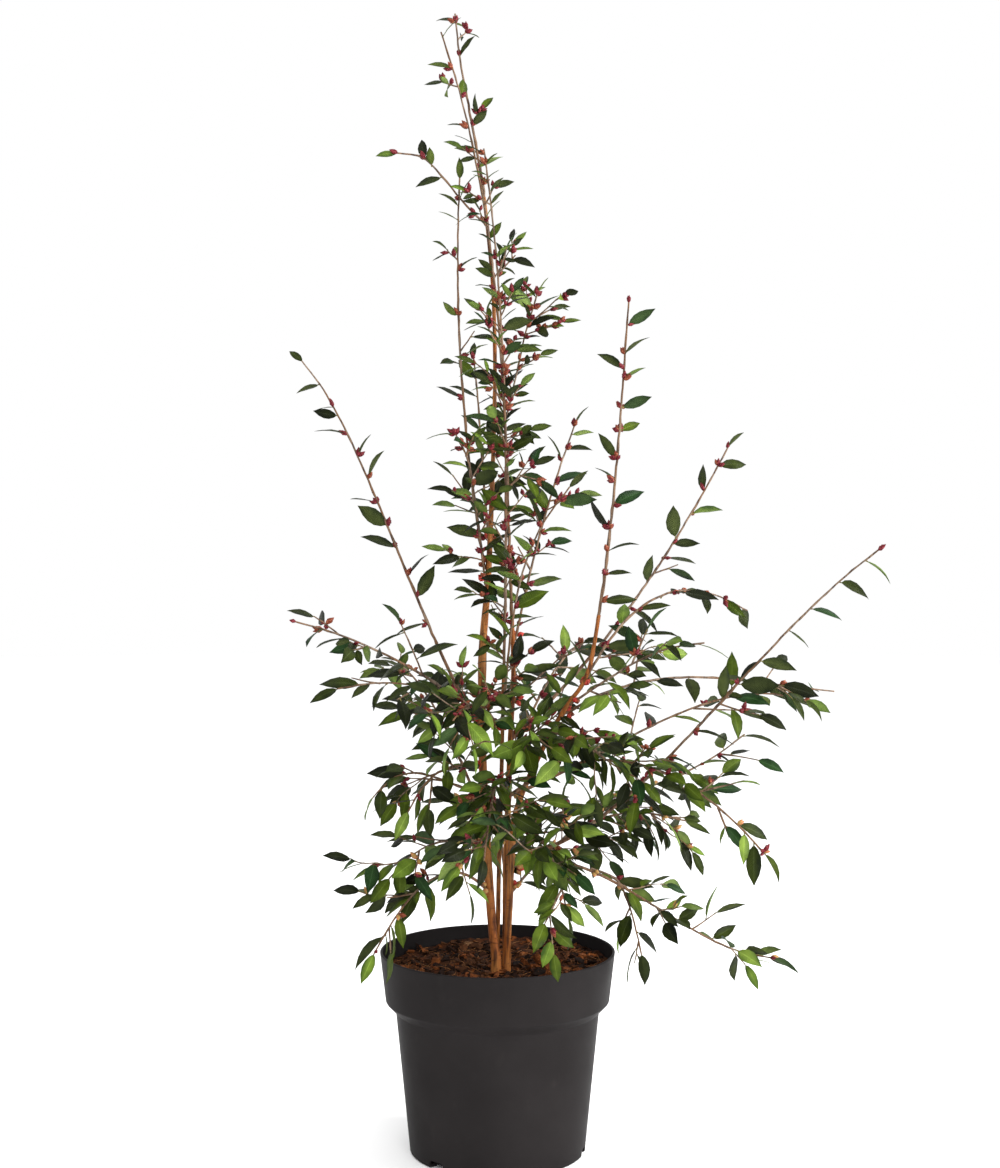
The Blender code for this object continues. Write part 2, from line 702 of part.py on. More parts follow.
def make_soil(parts):
    """The soil: it fills the pot, is level where the stems stand, and lies unevenly round them."""
    foot = POT_FLOOR + CLEARANCE
    edge_height = SOIL_HEIGHT - SOIL_EDGE_DROP
    edge = soil_radius(edge_height)
    rings = [(SOIL_LEVEL_RADIUS + (edge - SOIL_LEVEL_RADIUS) * share, SOIL_HEIGHT)
             for share in SOIL_RING_SHARES]
    inside = pot_profile()
    profile = [(0, SOIL_HEIGHT), (SOIL_LEVEL_RADIUS, SOIL_HEIGHT), *rings, (edge, edge_height),
               (inside[3][0] - CLEARANCE, inside[3][1]), (inside[2][0] - CLEARANCE, inside[2][1]),
               (soil_radius(foot + SOIL_CHAMFER), foot + SOIL_CHAMFER),
               (soil_radius(foot) - SOIL_CHAMFER, foot), (0, foot)]
    earth = make_material("potting_soil", (0.11, 0.045, 0.028), 0.95)
    rough = turned_shape(parts, "soil_profile", profile, POT_SIDES // 2)
    soil = add_object(parts, "soil", baked_mesh(rough), earth)
    bpy.data.objects.remove(rough)
    for vertex in soil.data.vertices:
        place = vertex.co
        from_axis = math.hypot(place.x, place.y)
        if place.z > edge_height - CLEARANCE and from_axis > SOIL_LEVEL_RADIUS + CLEARANCE:
            rise = noise.noise(place * SOIL_BUMP_SCALE) * SOIL_BUMP + SOIL_SLOPE * (place.x + place.y) / edge
            place.z += rise if from_axis < edge - CLEARANCE else max(0, rise)


def make_limb(parts, name, limb, material, resolution):
    """A stem or bough: a round tube that tapers from its root to its tip."""
    curve = bpy.data.curves.new(name, "CURVE")
    curve.dimensions = "3D"
    curve.bevel_depth = 1
    curve.bevel_resolution = resolution
    curve.use_fill_caps = True
    spline = curve.splines.new("POLY")
    spline.points.add(len(limb.way) - 1)
    for point, place, radius in zip(spline.points, limb.way, limb.radii):
        point.co = (*place, 1)
        point.radius = radius
    add_object(parts, name, curve, material)


def ring_frames(way, radii, toward):
    """A frame at each point of a way: Z along it, Y towards the given side at its start, no twist after."""
    direction = (way[1] - way[0]).normalized()
    side = (toward - direction * toward.dot(direction)).normalized()
    frames = []
    for index, place in enumerate(way):
        before = way[max(index - 1, 0)]
        after = way[min(index + 1, len(way) - 1)]
        turned = (after - before).normalized()
        side = direction.rotation_difference(turned) @ side
        direction = turned
        axes = Matrix((side.cross(direction), side, direction)).transposed().to_4x4()
        frames.append(Matrix.Translation(place) @ axes @ Matrix.Scale(radii[index], 4))
    return frames


def twig_shape(twig, toward):
    """A three-sided tapering twig: a small face that is pushed out along its way."""
    shape = bmesh.new()
    radii = tapered(twig.root_radius, twig.tip_radius, len(twig.way))
    frames = ring_frames(twig.way, radii, toward)
    bmesh.ops.create_circle(shape, cap_ends=True, segments=3, radius=1, matrix=frames[0])
    cap = list(shape.faces)[0]
    for before, after in zip(frames, frames[1:]):
        pushed = bmesh.ops.extrude_face_region(shape, geom=[cap, *cap.edges, *cap.verts])["geom"]
        corners = [item for item in pushed if isinstance(item, bmesh.types.BMVert)]
        cap = next(item for item in pushed if isinstance(item, bmesh.types.BMFace))
        bmesh.ops.transform(shape, matrix=after @ before.inverted(), verts=corners)
    return mesh_of(shape, "twig")


def spindle(root, tip, waist):
    """A closed shape of six faces between two points, over a waist of three corners."""
    shape = bmesh.new()
    bmesh.ops.create_uvsphere(shape, u_segments=3, v_segments=2, radius=1)
    for vertex in list(shape.verts):
        if abs(vertex.co.z) > 0.5:
            vertex.co = tip if vertex.co.z > 0 else root
        else:
            turn = math.atan2(vertex.co.y, vertex.co.x) % math.tau
            vertex.co = waist[round(turn / (math.tau / 3)) % 3]
    return mesh_of(shape, "leaf")


def leaf_mesh(leaf):
    """A leaf with a ridge along its midrib, a drooping tip and its root sunk into the twig."""
    across = leaf.along.cross(leaf.face) * (leaf.length * LEAF_WIDTH / 2)
    middle = leaf.centre_line(LEAF_WIDEST)
    ridge = middle + leaf.face * LEAF_THICKNESS
    return spindle(leaf.root - leaf.along * LEAF_ROOT, leaf.centre_line(1),
                   (middle - across, middle + across, ridge))


def bud_mesh(bud):
    """A plump pointed bud."""
    outward = bud.along.orthogonal().normalized() * BUD_RADIUS
    middle = bud.root + bud.along * (bud.length * 0.5)
    waist = [middle + Matrix.Rotation(math.tau * turn / 3, 3, bud.along) @ outward for turn in range(3)]
    return spindle(bud.root - bud.along * LEAF_ROOT, bud.root + bud.along * bud.length, waist)


def keep_largest(mesh):
    """Keeps the biggest connected shell of a mesh and drops loose scraps and sealed hollows."""
    shape = bmesh.new()
    shape.from_mesh(mesh)
    unseen = set(shape.verts)
    shells = []
    while unseen:
        shell = set()
        waiting = [unseen.pop()]
        while waiting:
            vertex = waiting.pop()
            shell.add(vertex)
            for edge in vertex.link_edges:
                other = edge.other_vert(vertex)
                if other in unseen:
                    unseen.discard(other)
                    waiting.append(other)
        shells.append(shell)
    largest = max(shells, key=len)
    loose = [vertex for vertex in shape.verts if vertex not in largest]
    bmesh.ops.delete(shape, geom=loose, context="VERTS")
    bmesh.ops.triangulate(shape, faces=shape.faces)
    shape.to_mesh(mesh)
    shape.free()


def make_spray(parts, spray, material):
    """One solid for a spray: its twigs, leaves and buds are joined to its stem in one union."""
    name = "foliage_" + spray.shoot.name
    pieces = make_collection(name + "_pieces")
    meshes = [twig_shape(twig, UP) for twig in spray.twigs]
    meshes += [leaf_mesh(leaf) for leaf in spray.leaves]
    meshes += [bud_mesh(bud) for bud in spray.buds]
    for mesh in meshes:
        add_object(pieces, name + "_piece", mesh)
    stem = add_object(parts, name + "_stem", twig_shape(spray.stem, spray.toward))
    if meshes:
        join = stem.modifiers.new("Join", "BOOLEAN")
        join.operation = "UNION"
        join.operand_type = "COLLECTION"
        join.collection = pieces
    mesh = baked_mesh(stem)
    keep_largest(mesh)
    mesh.materials.clear()
    add_object(parts, name, mesh, material)
    for item in [stem, *pieces.objects]:
        bpy.data.objects.remove(item, do_unlink=True)
    bpy.data.collections.remove(pieces)


def make_plant():
    clear_scene()
    parts = make_collection(OBJECT_NAME)
    cutters = make_collection("cutters")
    make_pot(parts, cutters)
    make_soil(parts)
    stems, boughs, sprays = grow_plant()
    bark = make_material("smooth_bark", (0.35, 0.17, 0.08), 0.6)
    young_bark = make_material("young_bark", (0.30, 0.20, 0.13), 0.6)
    leaf_green = make_material("leaf_green", (0.05, 0.13, 0.03), 0.35)
    for stem in STEMS:
        make_limb(parts, stem.name, stems[stem.name], bark, stem.roundness)
    for name, limb in boughs.items():
        make_limb(parts, name, limb, young_bark, 1)
    for spray in sprays:
        make_spray(parts, spray, leaf_green)


make_plant()
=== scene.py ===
import math
import random
from dataclasses import dataclass

import bmesh
import bpy
import numpy as np
from mathutils import Matrix, Vector, noise


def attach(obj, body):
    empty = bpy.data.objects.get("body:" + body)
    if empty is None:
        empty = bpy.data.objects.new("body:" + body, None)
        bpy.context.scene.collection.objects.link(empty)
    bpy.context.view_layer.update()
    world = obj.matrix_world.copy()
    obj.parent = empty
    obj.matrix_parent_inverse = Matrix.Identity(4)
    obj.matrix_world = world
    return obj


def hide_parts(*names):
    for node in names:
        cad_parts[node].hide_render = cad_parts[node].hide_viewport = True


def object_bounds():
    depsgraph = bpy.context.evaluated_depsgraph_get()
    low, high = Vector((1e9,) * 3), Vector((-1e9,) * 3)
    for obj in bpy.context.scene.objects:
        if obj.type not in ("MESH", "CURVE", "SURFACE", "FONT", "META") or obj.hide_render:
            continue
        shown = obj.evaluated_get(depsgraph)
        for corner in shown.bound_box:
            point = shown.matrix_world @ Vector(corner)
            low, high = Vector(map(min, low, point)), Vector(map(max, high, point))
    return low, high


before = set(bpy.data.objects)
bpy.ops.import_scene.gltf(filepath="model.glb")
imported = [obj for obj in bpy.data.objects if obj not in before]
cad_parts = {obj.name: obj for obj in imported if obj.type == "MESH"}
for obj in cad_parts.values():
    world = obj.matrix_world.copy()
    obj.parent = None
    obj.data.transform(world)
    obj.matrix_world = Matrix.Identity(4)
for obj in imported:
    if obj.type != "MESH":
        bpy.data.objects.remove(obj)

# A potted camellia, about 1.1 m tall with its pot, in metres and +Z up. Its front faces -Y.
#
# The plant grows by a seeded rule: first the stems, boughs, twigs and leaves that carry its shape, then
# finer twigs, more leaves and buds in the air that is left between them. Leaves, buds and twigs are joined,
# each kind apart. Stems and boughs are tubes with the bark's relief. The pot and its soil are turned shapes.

CAD_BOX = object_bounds()
CLEARANCE = 0.0003
UP = Vector((0, 0, 1))
FRONT = Vector((0, -1, 0))

# Pot
POT_HEIGHT = 0.198
RIM_RADIUS = 0.115
LIP_RADIUS = 0.1097
LIP_HEIGHT = 0.150
BODY_TOP_RADIUS = 0.0998
BODY_TOP_HEIGHT = 0.1405
FOOT_RADIUS = 0.0862
FOOT_ROUNDING = 0.0025
POT_WALL = 0.0019
POT_FLOOR = 0.003
NOTCH_COUNT = 6
NOTCH_WIDTH = 0.018
NOTCH_HEIGHT = 0.008
NOTCH_DEPTH = 0.014
NOTCH_TURN = math.radians(17)

# Soil
SOIL_HEIGHT = 0.181
SOIL_EDGE_DROP = 0.002
SOIL_SLOPE = 0.004
SOIL_LEVEL_RADIUS = 0.040

# Leaves and buds
LEAF_LENGTH = 0.038
LEAF_WIDTH = 0.40
LEAF_WIDEST = 0.45
HIGH_LEAF = 0.70
HIGH_FROM = 0.45
HIGH_TO = 0.85
LOW_HANG = 0.45
HIGH_HANG = 0.15
LEAF_ROLL = 0.75
LEAF_SPREAD = (30, 58)
BUD_LENGTH = 0.0085

# How far a stem stands upright on the soil before it leans
UPRIGHT_FOOT = 0.012

# Twigs
TWIG_ROOT_RADIUS = 0.0012
TWIG_TIP_RADIUS = 0.0007
SPRAY_ROOT_RADIUS = 0.0017
SPRAY_TIP_RADIUS = 0.0008
TWIG_STEPS = 2
BOUGH_STEPS = 5
SHOOT_STEPS = 24
SPRAY_STEP = 0.045
TRIES = 5

# Room that a twig or a leaf keeps from what is already there
ROOM = 0.0009
CROWN_LEFT = -0.2185
CROWN_RIGHT = 0.353
CROWN_TOP = 1.107
CROWN_DEPTH = 0.24
CROWN_FOOT = 0.17


@dataclass
class Stem:
    """One of the four stems: its way up from the soil, its radius at each point of it, and its flare."""
    name: str
    way: tuple
    radii: tuple
    flare: float
    steps: int


@dataclass
class Shoot:
    """A bough and its spray, from the limb it leaves to its far end."""
    name: str
    limb: str
    height: float
    tip: tuple
    near_bend: tuple
    far_bend: tuple
    bare: float
    radius: float
    leaf_gap: float
    twigs: int
    twig_length: float
    buds: float
    ends_in_leaf: bool = True
    right_share: float = 0.5
    hang: float = 0


STEMS = (
    Stem("trunk", ((-0.0015, -0.022, 0.181), (-0.0085, -0.015, 0.270), (-0.0145, -0.006, 0.386),
                   (-0.0145, 0.000, 0.493), (-0.0095, 0.000, 0.555), (-0.0055, 0.000, 0.645),
                   (-0.0025, 0.002, 0.760), (-0.0050, 0.002, 0.850), (-0.0130, 0.001, 0.930)),
         (0.0042, 0.0043, 0.0041, 0.0038, 0.0031, 0.0022, 0.0019, 0.0018, 0.0017), 1.25, 16),
    Stem("second_stem", ((0.0085, 0.002, 0.181), (0.0085, 0.000, 0.280), (0.0125, 0.000, 0.405),
                         (0.0155, 0.003, 0.470), (0.0140, 0.004, 0.522)),
         (0.0035, 0.0034, 0.0027, 0.0023, 0.0020), 1.25, 8),
    Stem("third_stem", ((-0.0010, 0.007, 0.181), (0.0005, -0.002, 0.235), (0.0015, -0.013, 0.290),
                        (0.0030, -0.024, 0.340), (0.0060, -0.024, 0.470)),
         (0.0025, 0.0023, 0.0022, 0.0021, 0.0018), 1.25, 8),
    Stem("right_stem", ((0.0085, -0.016, 0.181), (0.0130, -0.019, 0.280), (0.0200, -0.024, 0.345),
                        (0.0580, -0.038, 0.429), (0.0850, -0.046, 0.472), (0.0960, -0.052, 0.530)),
         (0.0037, 0.0034, 0.0028, 0.0022, 0.0020, 0.0018), 1.25, 12),
)

# Rows: name, limb, height on it (0 continues it from its top), tip, bend of the near and the far half,
# bare share, radius, distance between leaves, side twigs, length of the longest, chance of a bud, and where
# they differ from the usual, whether it ends in a leaf, the share of leaves on its right, and how much more
# than usual its twigs and leaves hang.
SHOOTS = (
    # The tops of the four stems
    Shoot("leader_top", "trunk", 0, (-0.041, 0.012, 1.107), (0.004, 0, 0), (-0.006, 0, 0),
          0, 0.0018, 0.032, 2, 0.032, 0.25, False),
    Shoot("second_top", "second_stem", 0, (-0.054, -0.008, 1.085), (0.041, -0.010, 0), (0.042, -0.026, 0),
          0, 0.0019, 0.034, 4, 0.036, 0.15),
    Shoot("third_top", "third_stem", 0, (-0.013, -0.024, 0.972), (0.026, -0.004, 0), (0.018, -0.010, 0),
          0, 0.0016, 0.034, 4, 0.038, 0.1),
    Shoot("right_top", "right_stem", 0, (0.122, -0.075, 0.824), (0.002, 0, 0), (0.002, 0, 0),
          0, 0.002, 0.0235, 0, 0, 0.3, False, 0.8),

    # Long boughs on the left, from the highest to the one that hangs over the rim
    Shoot("left_tall", "trunk", 0.422, (-0.199, 0.100, 0.779), (0, 0, -0.023), (0, 0, 0.059),
          0.22, 0.0018, 0.029, 0, 0, 0.3, right_share=0.25),
    Shoot("left_out", "trunk", 0.432, (-0.190, -0.080, 0.526), (0, 0, 0.017), (0, 0, 0.015),
          0.22, 0.0017, 0.028, 3, 0.050, 0.05, False, hang=0.25),
    Shoot("left_middle", "trunk", 0.356, (-0.112, -0.080, 0.366), (0, 0, 0.002), (0, 0, 0.039),
          0.22, 0.0016, 0.028, 2, 0.045, 0.05, hang=-0.1),
    Shoot("left_low", "trunk", 0.306, (-0.101, -0.090, 0.286), (0, 0, 0.018), (0, 0, 0.027),
          0.22, 0.0015, 0.023, 3, 0.045, 0.05),
    Shoot("left_hanging", "trunk", 0.262, (-0.113, -0.130, 0.224), (0, 0, 0.057), (0, 0, 0.048),
          0.3, 0.0015, 0.0235, 2, 0.040, 0),

    # Long boughs on the right
    Shoot("right_tall", "second_stem", 0.408, (0.238, 0.130, 0.692), (0, 0, -0.030), (0, 0, -0.040),
          0.30, 0.0019, 0.029, 1, 0.040, 0.25, right_share=0.7),
    Shoot("right_long", "second_stem", 0.290, (0.341, -0.160, 0.596), (0, 0, -0.085), (0, 0, 0.014),
          0.30, 0.0021, 0.034, 1, 0.040, 0.2, False, 0.75),
    Shoot("right_middle", "second_stem", 0.351, (0.312, 0.080, 0.435), (0, 0, 0.006), (0, 0, 0.062),
          0.22, 0.0018, 0.032, 3, 0.060, 0.05, hang=-0.1),
    Shoot("right_drooping", "third_stem", 0.350, (0.243, -0.140, 0.318), (0, 0, 0.080), (0, 0, 0.080),
          0.22, 0.0017, 0.026, 4, 0.055, 0.05, hang=-0.2),
    Shoot("right_short", "second_stem", 0.313, (0.257, 0.130, 0.394), (0, 0, 0.006), (0, 0, -0.033),
          0.25, 0.0017, 0.031, 3, 0.060, 0.05),
    Shoot("right_low", "right_stem", 0.285, (0.257, -0.090, 0.211), (0, 0, 0.059), (0, 0, -0.026),
          0.40, 0.0017, 0.027, 3, 0.040, 0.05, hang=-0.5),

    # Boughs to the front and to the back
    Shoot("front_low", "third_stem", 0.310, (0.064, -0.150, 0.262), (0, 0, 0.030), (0, 0, 0.085),
          0.25, 0.0015, 0.020, 4, 0.055, 0.05),
    Shoot("back_left", "trunk", 0.335, (-0.112, 0.160, 0.468), (0, 0, 0.030), (0, 0, 0.040),
          0.25, 0.0017, 0.030, 3, 0.065, 0.05),
    Shoot("back_right", "second_stem", 0.385, (0.090, 0.190, 0.480), (0, 0, 0.020), (0, 0, 0.035),
          0.25, 0.0017, 0.030, 3, 0.065, 0.05),
    Shoot("back_low", "second_stem", 0.270, (-0.010, 0.185, 0.290), (0, 0, 0.030), (0, 0, 0.055),
          0.25, 0.0016, 0.030, 3, 0.065, 0.05),

    # Sprays that leave a limb with no bare bough
    Shoot("right_arching", "right_stem", 0.462, (0.249, 0.050, 0.528), (0, 0, 0.084), (0, 0, 0.056),
          0, 0.0015, 0.027, 2, 0.045, 0.1),
    Shoot("right_forward", "right_stem", 0.448, (0.190, -0.110, 0.508), (0, 0, 0.010), (0, 0, 0.020),
          0, 0.0014, 0.0225, 3, 0.045, 0.05),
    Shoot("right_level", "right_stem", 0.436, (0.338, 0.060, 0.446), (0, 0, 0.051), (0, 0, 0.014),
          0, 0.0016, 0.034, 2, 0.055, 0.05, hang=-0.1),
    Shoot("right_inner", "second_stem", 0.445, (0.090, 0.030, 0.500), (0, 0, 0.004), (0, 0, 0.010),
          0, 0.0013, 0.0235, 2, 0.035, 0.2),
    Shoot("rim_hanging", "bough_right_low", 0.283, (0.139, -0.030, 0.200), (0, 0, 0.030), (0, 0, 0.050),
          0, 0.0013, 0.0235, 2, 0.035, 0.05),
    Shoot("front_hanging", "third_stem", 0.372, (-0.012, -0.160, 0.317), (0, 0, 0.031), (0, 0, 0.020),
          0, 0.0014, 0.019, 4, 0.055, 0.2),
    Shoot("front_bough", "third_stem", 0.420, (-0.040, -0.140, 0.440), (0, 0, 0.015), (0, 0, 0.030),
          0, 0.0014, 0.019, 4, 0.055, 0.2),
    Shoot("top_left", "trunk", 0.905, (-0.096, -0.030, 0.967), (0, 0, 0), (0, 0, 0.036),
          0, 0.0013, 0.0225, 0, 0, 0.3),
    Shoot("thin_left", "trunk", 0.575, (-0.036, -0.020, 0.945), (-0.012, 0.012, 0), (-0.014, 0.010, 0),
          0, 0.0015, 0.043, 2, 0.040, 0.1),
    Shoot("column_left", "trunk", 0.560, (-0.040, -0.060, 0.702), (0, 0, 0.050), (0, 0, 0.049),
          0, 0.0014, 0.019, 3, 0.036, 0.25),
    Shoot("column_right", "second_stem", 0.505, (0.076, 0.040, 0.712), (-0.006, 0, 0), (-0.006, 0, 0),
          0, 0.0015, 0.0255, 2, 0.034, 0.3),
    Shoot("column_front", "third_stem", 0.440, (0.068, -0.055, 0.651), (-0.013, -0.008, 0.045),
          (-0.022, 0, 0.022), 0, 0.0014, 0.0255, 2, 0.034, 0.25),
    Shoot("column_high", "trunk", 0.690, (0.039, 0.030, 0.840), (0, 0, -0.02), (0, 0, 0.02),
          0, 0.0013, 0.0255, 2, 0.035, 0.2),
    Shoot("column_back", "trunk", 0.600, (-0.024, 0.070, 0.780), (0, 0, -0.02), (0, 0, 0.03),
          0, 0.0014, 0.0255, 2, 0.040, 0.1),
    Shoot("left_under", "trunk", 0.449, (-0.152, -0.055, 0.460), (0, 0, 0.006), (0, 0, 0.014),
          0, 0.0014, 0.026, 2, 0.050, 0.05, hang=-0.1),
    Shoot("centre_left", "trunk", 0.380, (-0.084, -0.075, 0.346), (0, 0, 0.016), (0, 0, 0.034),
          0, 0.0014, 0.018, 4, 0.055, 0.05),
    Shoot("centre_right", "third_stem", 0.395, (0.100, -0.105, 0.400), (0, 0, 0.030), (0, 0, 0.030),
          0, 0.0014, 0.018, 5, 0.060, 0.05, hang=0.12),
    Shoot("low_right", "right_stem", 0.262, (0.186, 0.025, 0.321), (0, 0, 0.055), (0, 0, 0.040),
          0, 0.0014, 0.0225, 3, 0.050, 0.05),
)


def smooth_way(points, steps):
    """Points at even shares of a smooth curve through the given ones (Catmull-Rom)."""
    marks = [Vector(point) for point in points]
    first = marks[0] * 2 - marks[1]
    last = marks[-1] * 2 - marks[-2]
    marks = [first] + marks + [last]
    spans = len(marks) - 3
    way = []
    for step in range(steps + 1):
        place = spans * step / steps
        index = min(int(place), spans - 1)
        share = place - index
        before, start, end, after = marks[index:index + 4]
        way.append((start * 2 + (end - before) * share
                    + (before * 2 - start * 5 + end * 4 - after) * share ** 2
                    + (start * 3 - before - end * 3 + after) * share ** 3) * 0.5)
    return way


def arched_way(start, near, far, end, steps):
    """Points at even shares of a Bezier curve."""
    way = []
    for step in range(steps + 1):
        share = step / steps
        rest = 1 - share
        way.append(start * rest ** 3 + near * (3 * rest ** 2 * share)
                   + far * (3 * rest * share ** 2) + end * share ** 3)
    return way


def side_twig_way(root, away, reach, lift, steps):
    """A twig's way: straight out from its root, then lifted or lowered towards its end."""
    end = root + away * reach + lift
    third = away * (reach * 0.33)
    return arched_way(root, root + third, end - third + lift * 0.5, end, steps)


def way_length(way):
    return sum((end - start).length for start, end in zip(way, way[1:]))


def point_on(way, distance):
    """The point at a distance along a way, and the way's direction there."""
    for start, end in zip(way, way[1:]):
        span = (end - start).length
        if distance <= span:
            break
        distance -= span
    else:
        distance = span
    direction = (end - start).normalized()
    return start + direction * distance, direction


def part_of(way, begin, finish, steps):
    """The stretch of a way between two shares of its length."""
    length = way_length(way)
    return [point_on(way, length * (begin + (finish - begin) * step / steps))[0]
            for step in range(steps + 1)]


def tapered(first, last, count):
    return [first + (last - first) * index / (count - 1) for index in range(count)]


class Limb:
    """A stem or bough as a way with a radius at each of its points."""

    BALL_STEP = 0.003

    def __init__(self, way, radii):
        self.way = way
        self.radii = radii

    def at_height(self, height):
        """Centre, direction and radius where the limb passes a height."""
        pairs = list(zip(self.way, self.way[1:], self.radii, self.radii[1:]))
        for start, end, first, last in pairs:
            if (start.z - height) * (end.z - height) <= 0:
                share = (height - start.z) / (end.z - start.z)
                return start.lerp(end, share), (end - start).normalized(), first + (last - first) * share
        raise ValueError("no point of the limb is at this height")

    def balls(self):
        """Small balls that fill the limb."""
        filled = []
        for start, end, first, last in zip(self.way, self.way[1:], self.radii, self.radii[1:]):
            count = max(1, math.ceil((end - start).length / self.BALL_STEP))
            for index in range(count):
                share = index / count
                filled.append((start.lerp(end, share), first + (last - first) * share))
        filled.append((self.way[-1], self.radii[-1]))
        return filled


class Air:
    """What already grows, as balls in a grid of cells, so that a new twig or leaf can be tried first."""

    CELL = 0.02

    def __init__(self):
        self.cells = {}

    def cell(self, point):
        return tuple(math.floor(value / self.CELL) for value in point)

    def fill(self, owner, balls):
        for centre, radius in balls:
            self.cells.setdefault(self.cell(centre), []).append((centre, radius, owner))

    def is_free(self, balls, parent):
        """Whether balls are clear of everything except the twig that they grow from."""
        for centre, radius in balls:
            column, row, layer = self.cell(centre)
            for step in range(27):
                key = (column + step % 3 - 1, row + step // 3 % 3 - 1, layer + step // 9 - 1)
                for other, other_radius, owner in self.cells.get(key, ()):
                    if owner != parent and (other - centre).length < radius + other_radius + ROOM:
                        return False
        return True


def in_crown(balls):
    """Whether balls stay within the crown's reach and out of the pot."""
    for centre, radius in balls:
        if not CROWN_LEFT < centre.x - radius or not centre.x + radius < CROWN_RIGHT:
            return False
        if centre.z + radius > CROWN_TOP or abs(centre.y) + radius > CROWN_DEPTH:
            return False
        from_axis = math.hypot(centre.x, centre.y)
        if centre.z - radius < POT_HEIGHT and from_axis - radius < RIM_RADIUS + ROOM:
            return False
        if centre.z - radius < CROWN_FOOT:
            return False
    return True


@dataclass
class Leaf:
    """A leaf or bud: where it roots, which way it points, which way its face turns, and its size."""
    root: Vector
    along: Vector
    face: Vector
    length: float
    droop: float

    def centre_line(self, share):
        sag = self.droop * self.length * max(0, share - LEAF_WIDEST) / (1 - LEAF_WIDEST)
        return self.root + self.along * (self.length * share) - self.face * sag

    def balls(self):
        width = self.length * LEAF_WIDTH
        shape = ((0.18, 0.22), (0.38, 0.46), (0.58, 0.42), (0.78, 0.25), (0.95, 0.08))
        return [(self.centre_line(share), width * half) for share, half in shape]


@dataclass
class Twig:
    """A twig's way and the radius at its root and tip."""
    way: list
    root_radius: float
    tip_radius: float

    def limb(self):
        return Limb(self.way, tapered(self.root_radius, self.tip_radius, len(self.way)))


def side_of(direction):
    """The sideways direction in which leaves leave a twig: level on a level twig, in the picture's plane
    on an upright one."""
    upright = min(1, max(0, (abs(direction.z) - 0.35) / 0.4))
    plane = UP * (1 - upright) + FRONT * upright
    return direction.cross(plane).normalized()


def turned_from(direction, side, spread, roll):
    """A direction that leaves another at an angle, on one side of it, rolled round it."""
    outward = Matrix.Rotation(roll, 3, direction) @ side
    return (direction * math.cos(spread) + outward * math.sin(spread)).normalized()


def high_share(height):
    """0 in the lower crown, rising to 1 at the top."""
    return min(1, max(0, (height - HIGH_FROM) / (HIGH_TO - HIGH_FROM)))


def leaf_size(height):
    """The usual length of a leaf: leaves get smaller towards the top."""
    return LEAF_LENGTH * (1 - (1 - HIGH_LEAF) * high_share(height))


def leaf_from(rng, root, direction, side, more_hang):
    """A leaf that leaves a twig sideways and hangs, more so in the lower crown, its face turned up and
    rolled at random."""
    along = turned_from(direction, side, math.radians(rng.uniform(*LEAF_SPREAD)), rng.uniform(-0.6, 0.6))
    hang = LOW_HANG + (HIGH_HANG - LOW_HANG) * high_share(root.z)
    along = (along - UP * (rng.uniform(0, hang) + more_hang)).normalized()
    face = (UP - along * along.z).normalized()
    face = Matrix.Rotation(rng.gauss(0, LEAF_ROLL), 3, along) @ face
    return Leaf(root, along, face, leaf_size(root.z) * rng.uniform(0.72, 1.12), rng.uniform(0.12, 0.34))


def end_face(along, index):
    """The way an end leaf's face turns: up, and rolled a little to the one side or to the other."""
    roll = LEAF_ROLL if index % 2 else -LEAF_ROLL
    return Matrix.Rotation(roll, 3, along) @ (UP - along * along.z).normalized()


def bud_from(rng, root, direction, side):
    """A bud at a leaf's foot, on the part of the twig that the leaf leaves free."""
    along = turned_from(direction, side, math.radians(rng.uniform(25, 55)), rng.uniform(1.3, 5.0))
    return Leaf(root, along, side, BUD_LENGTH * rng.uniform(0.8, 1.15), 0)


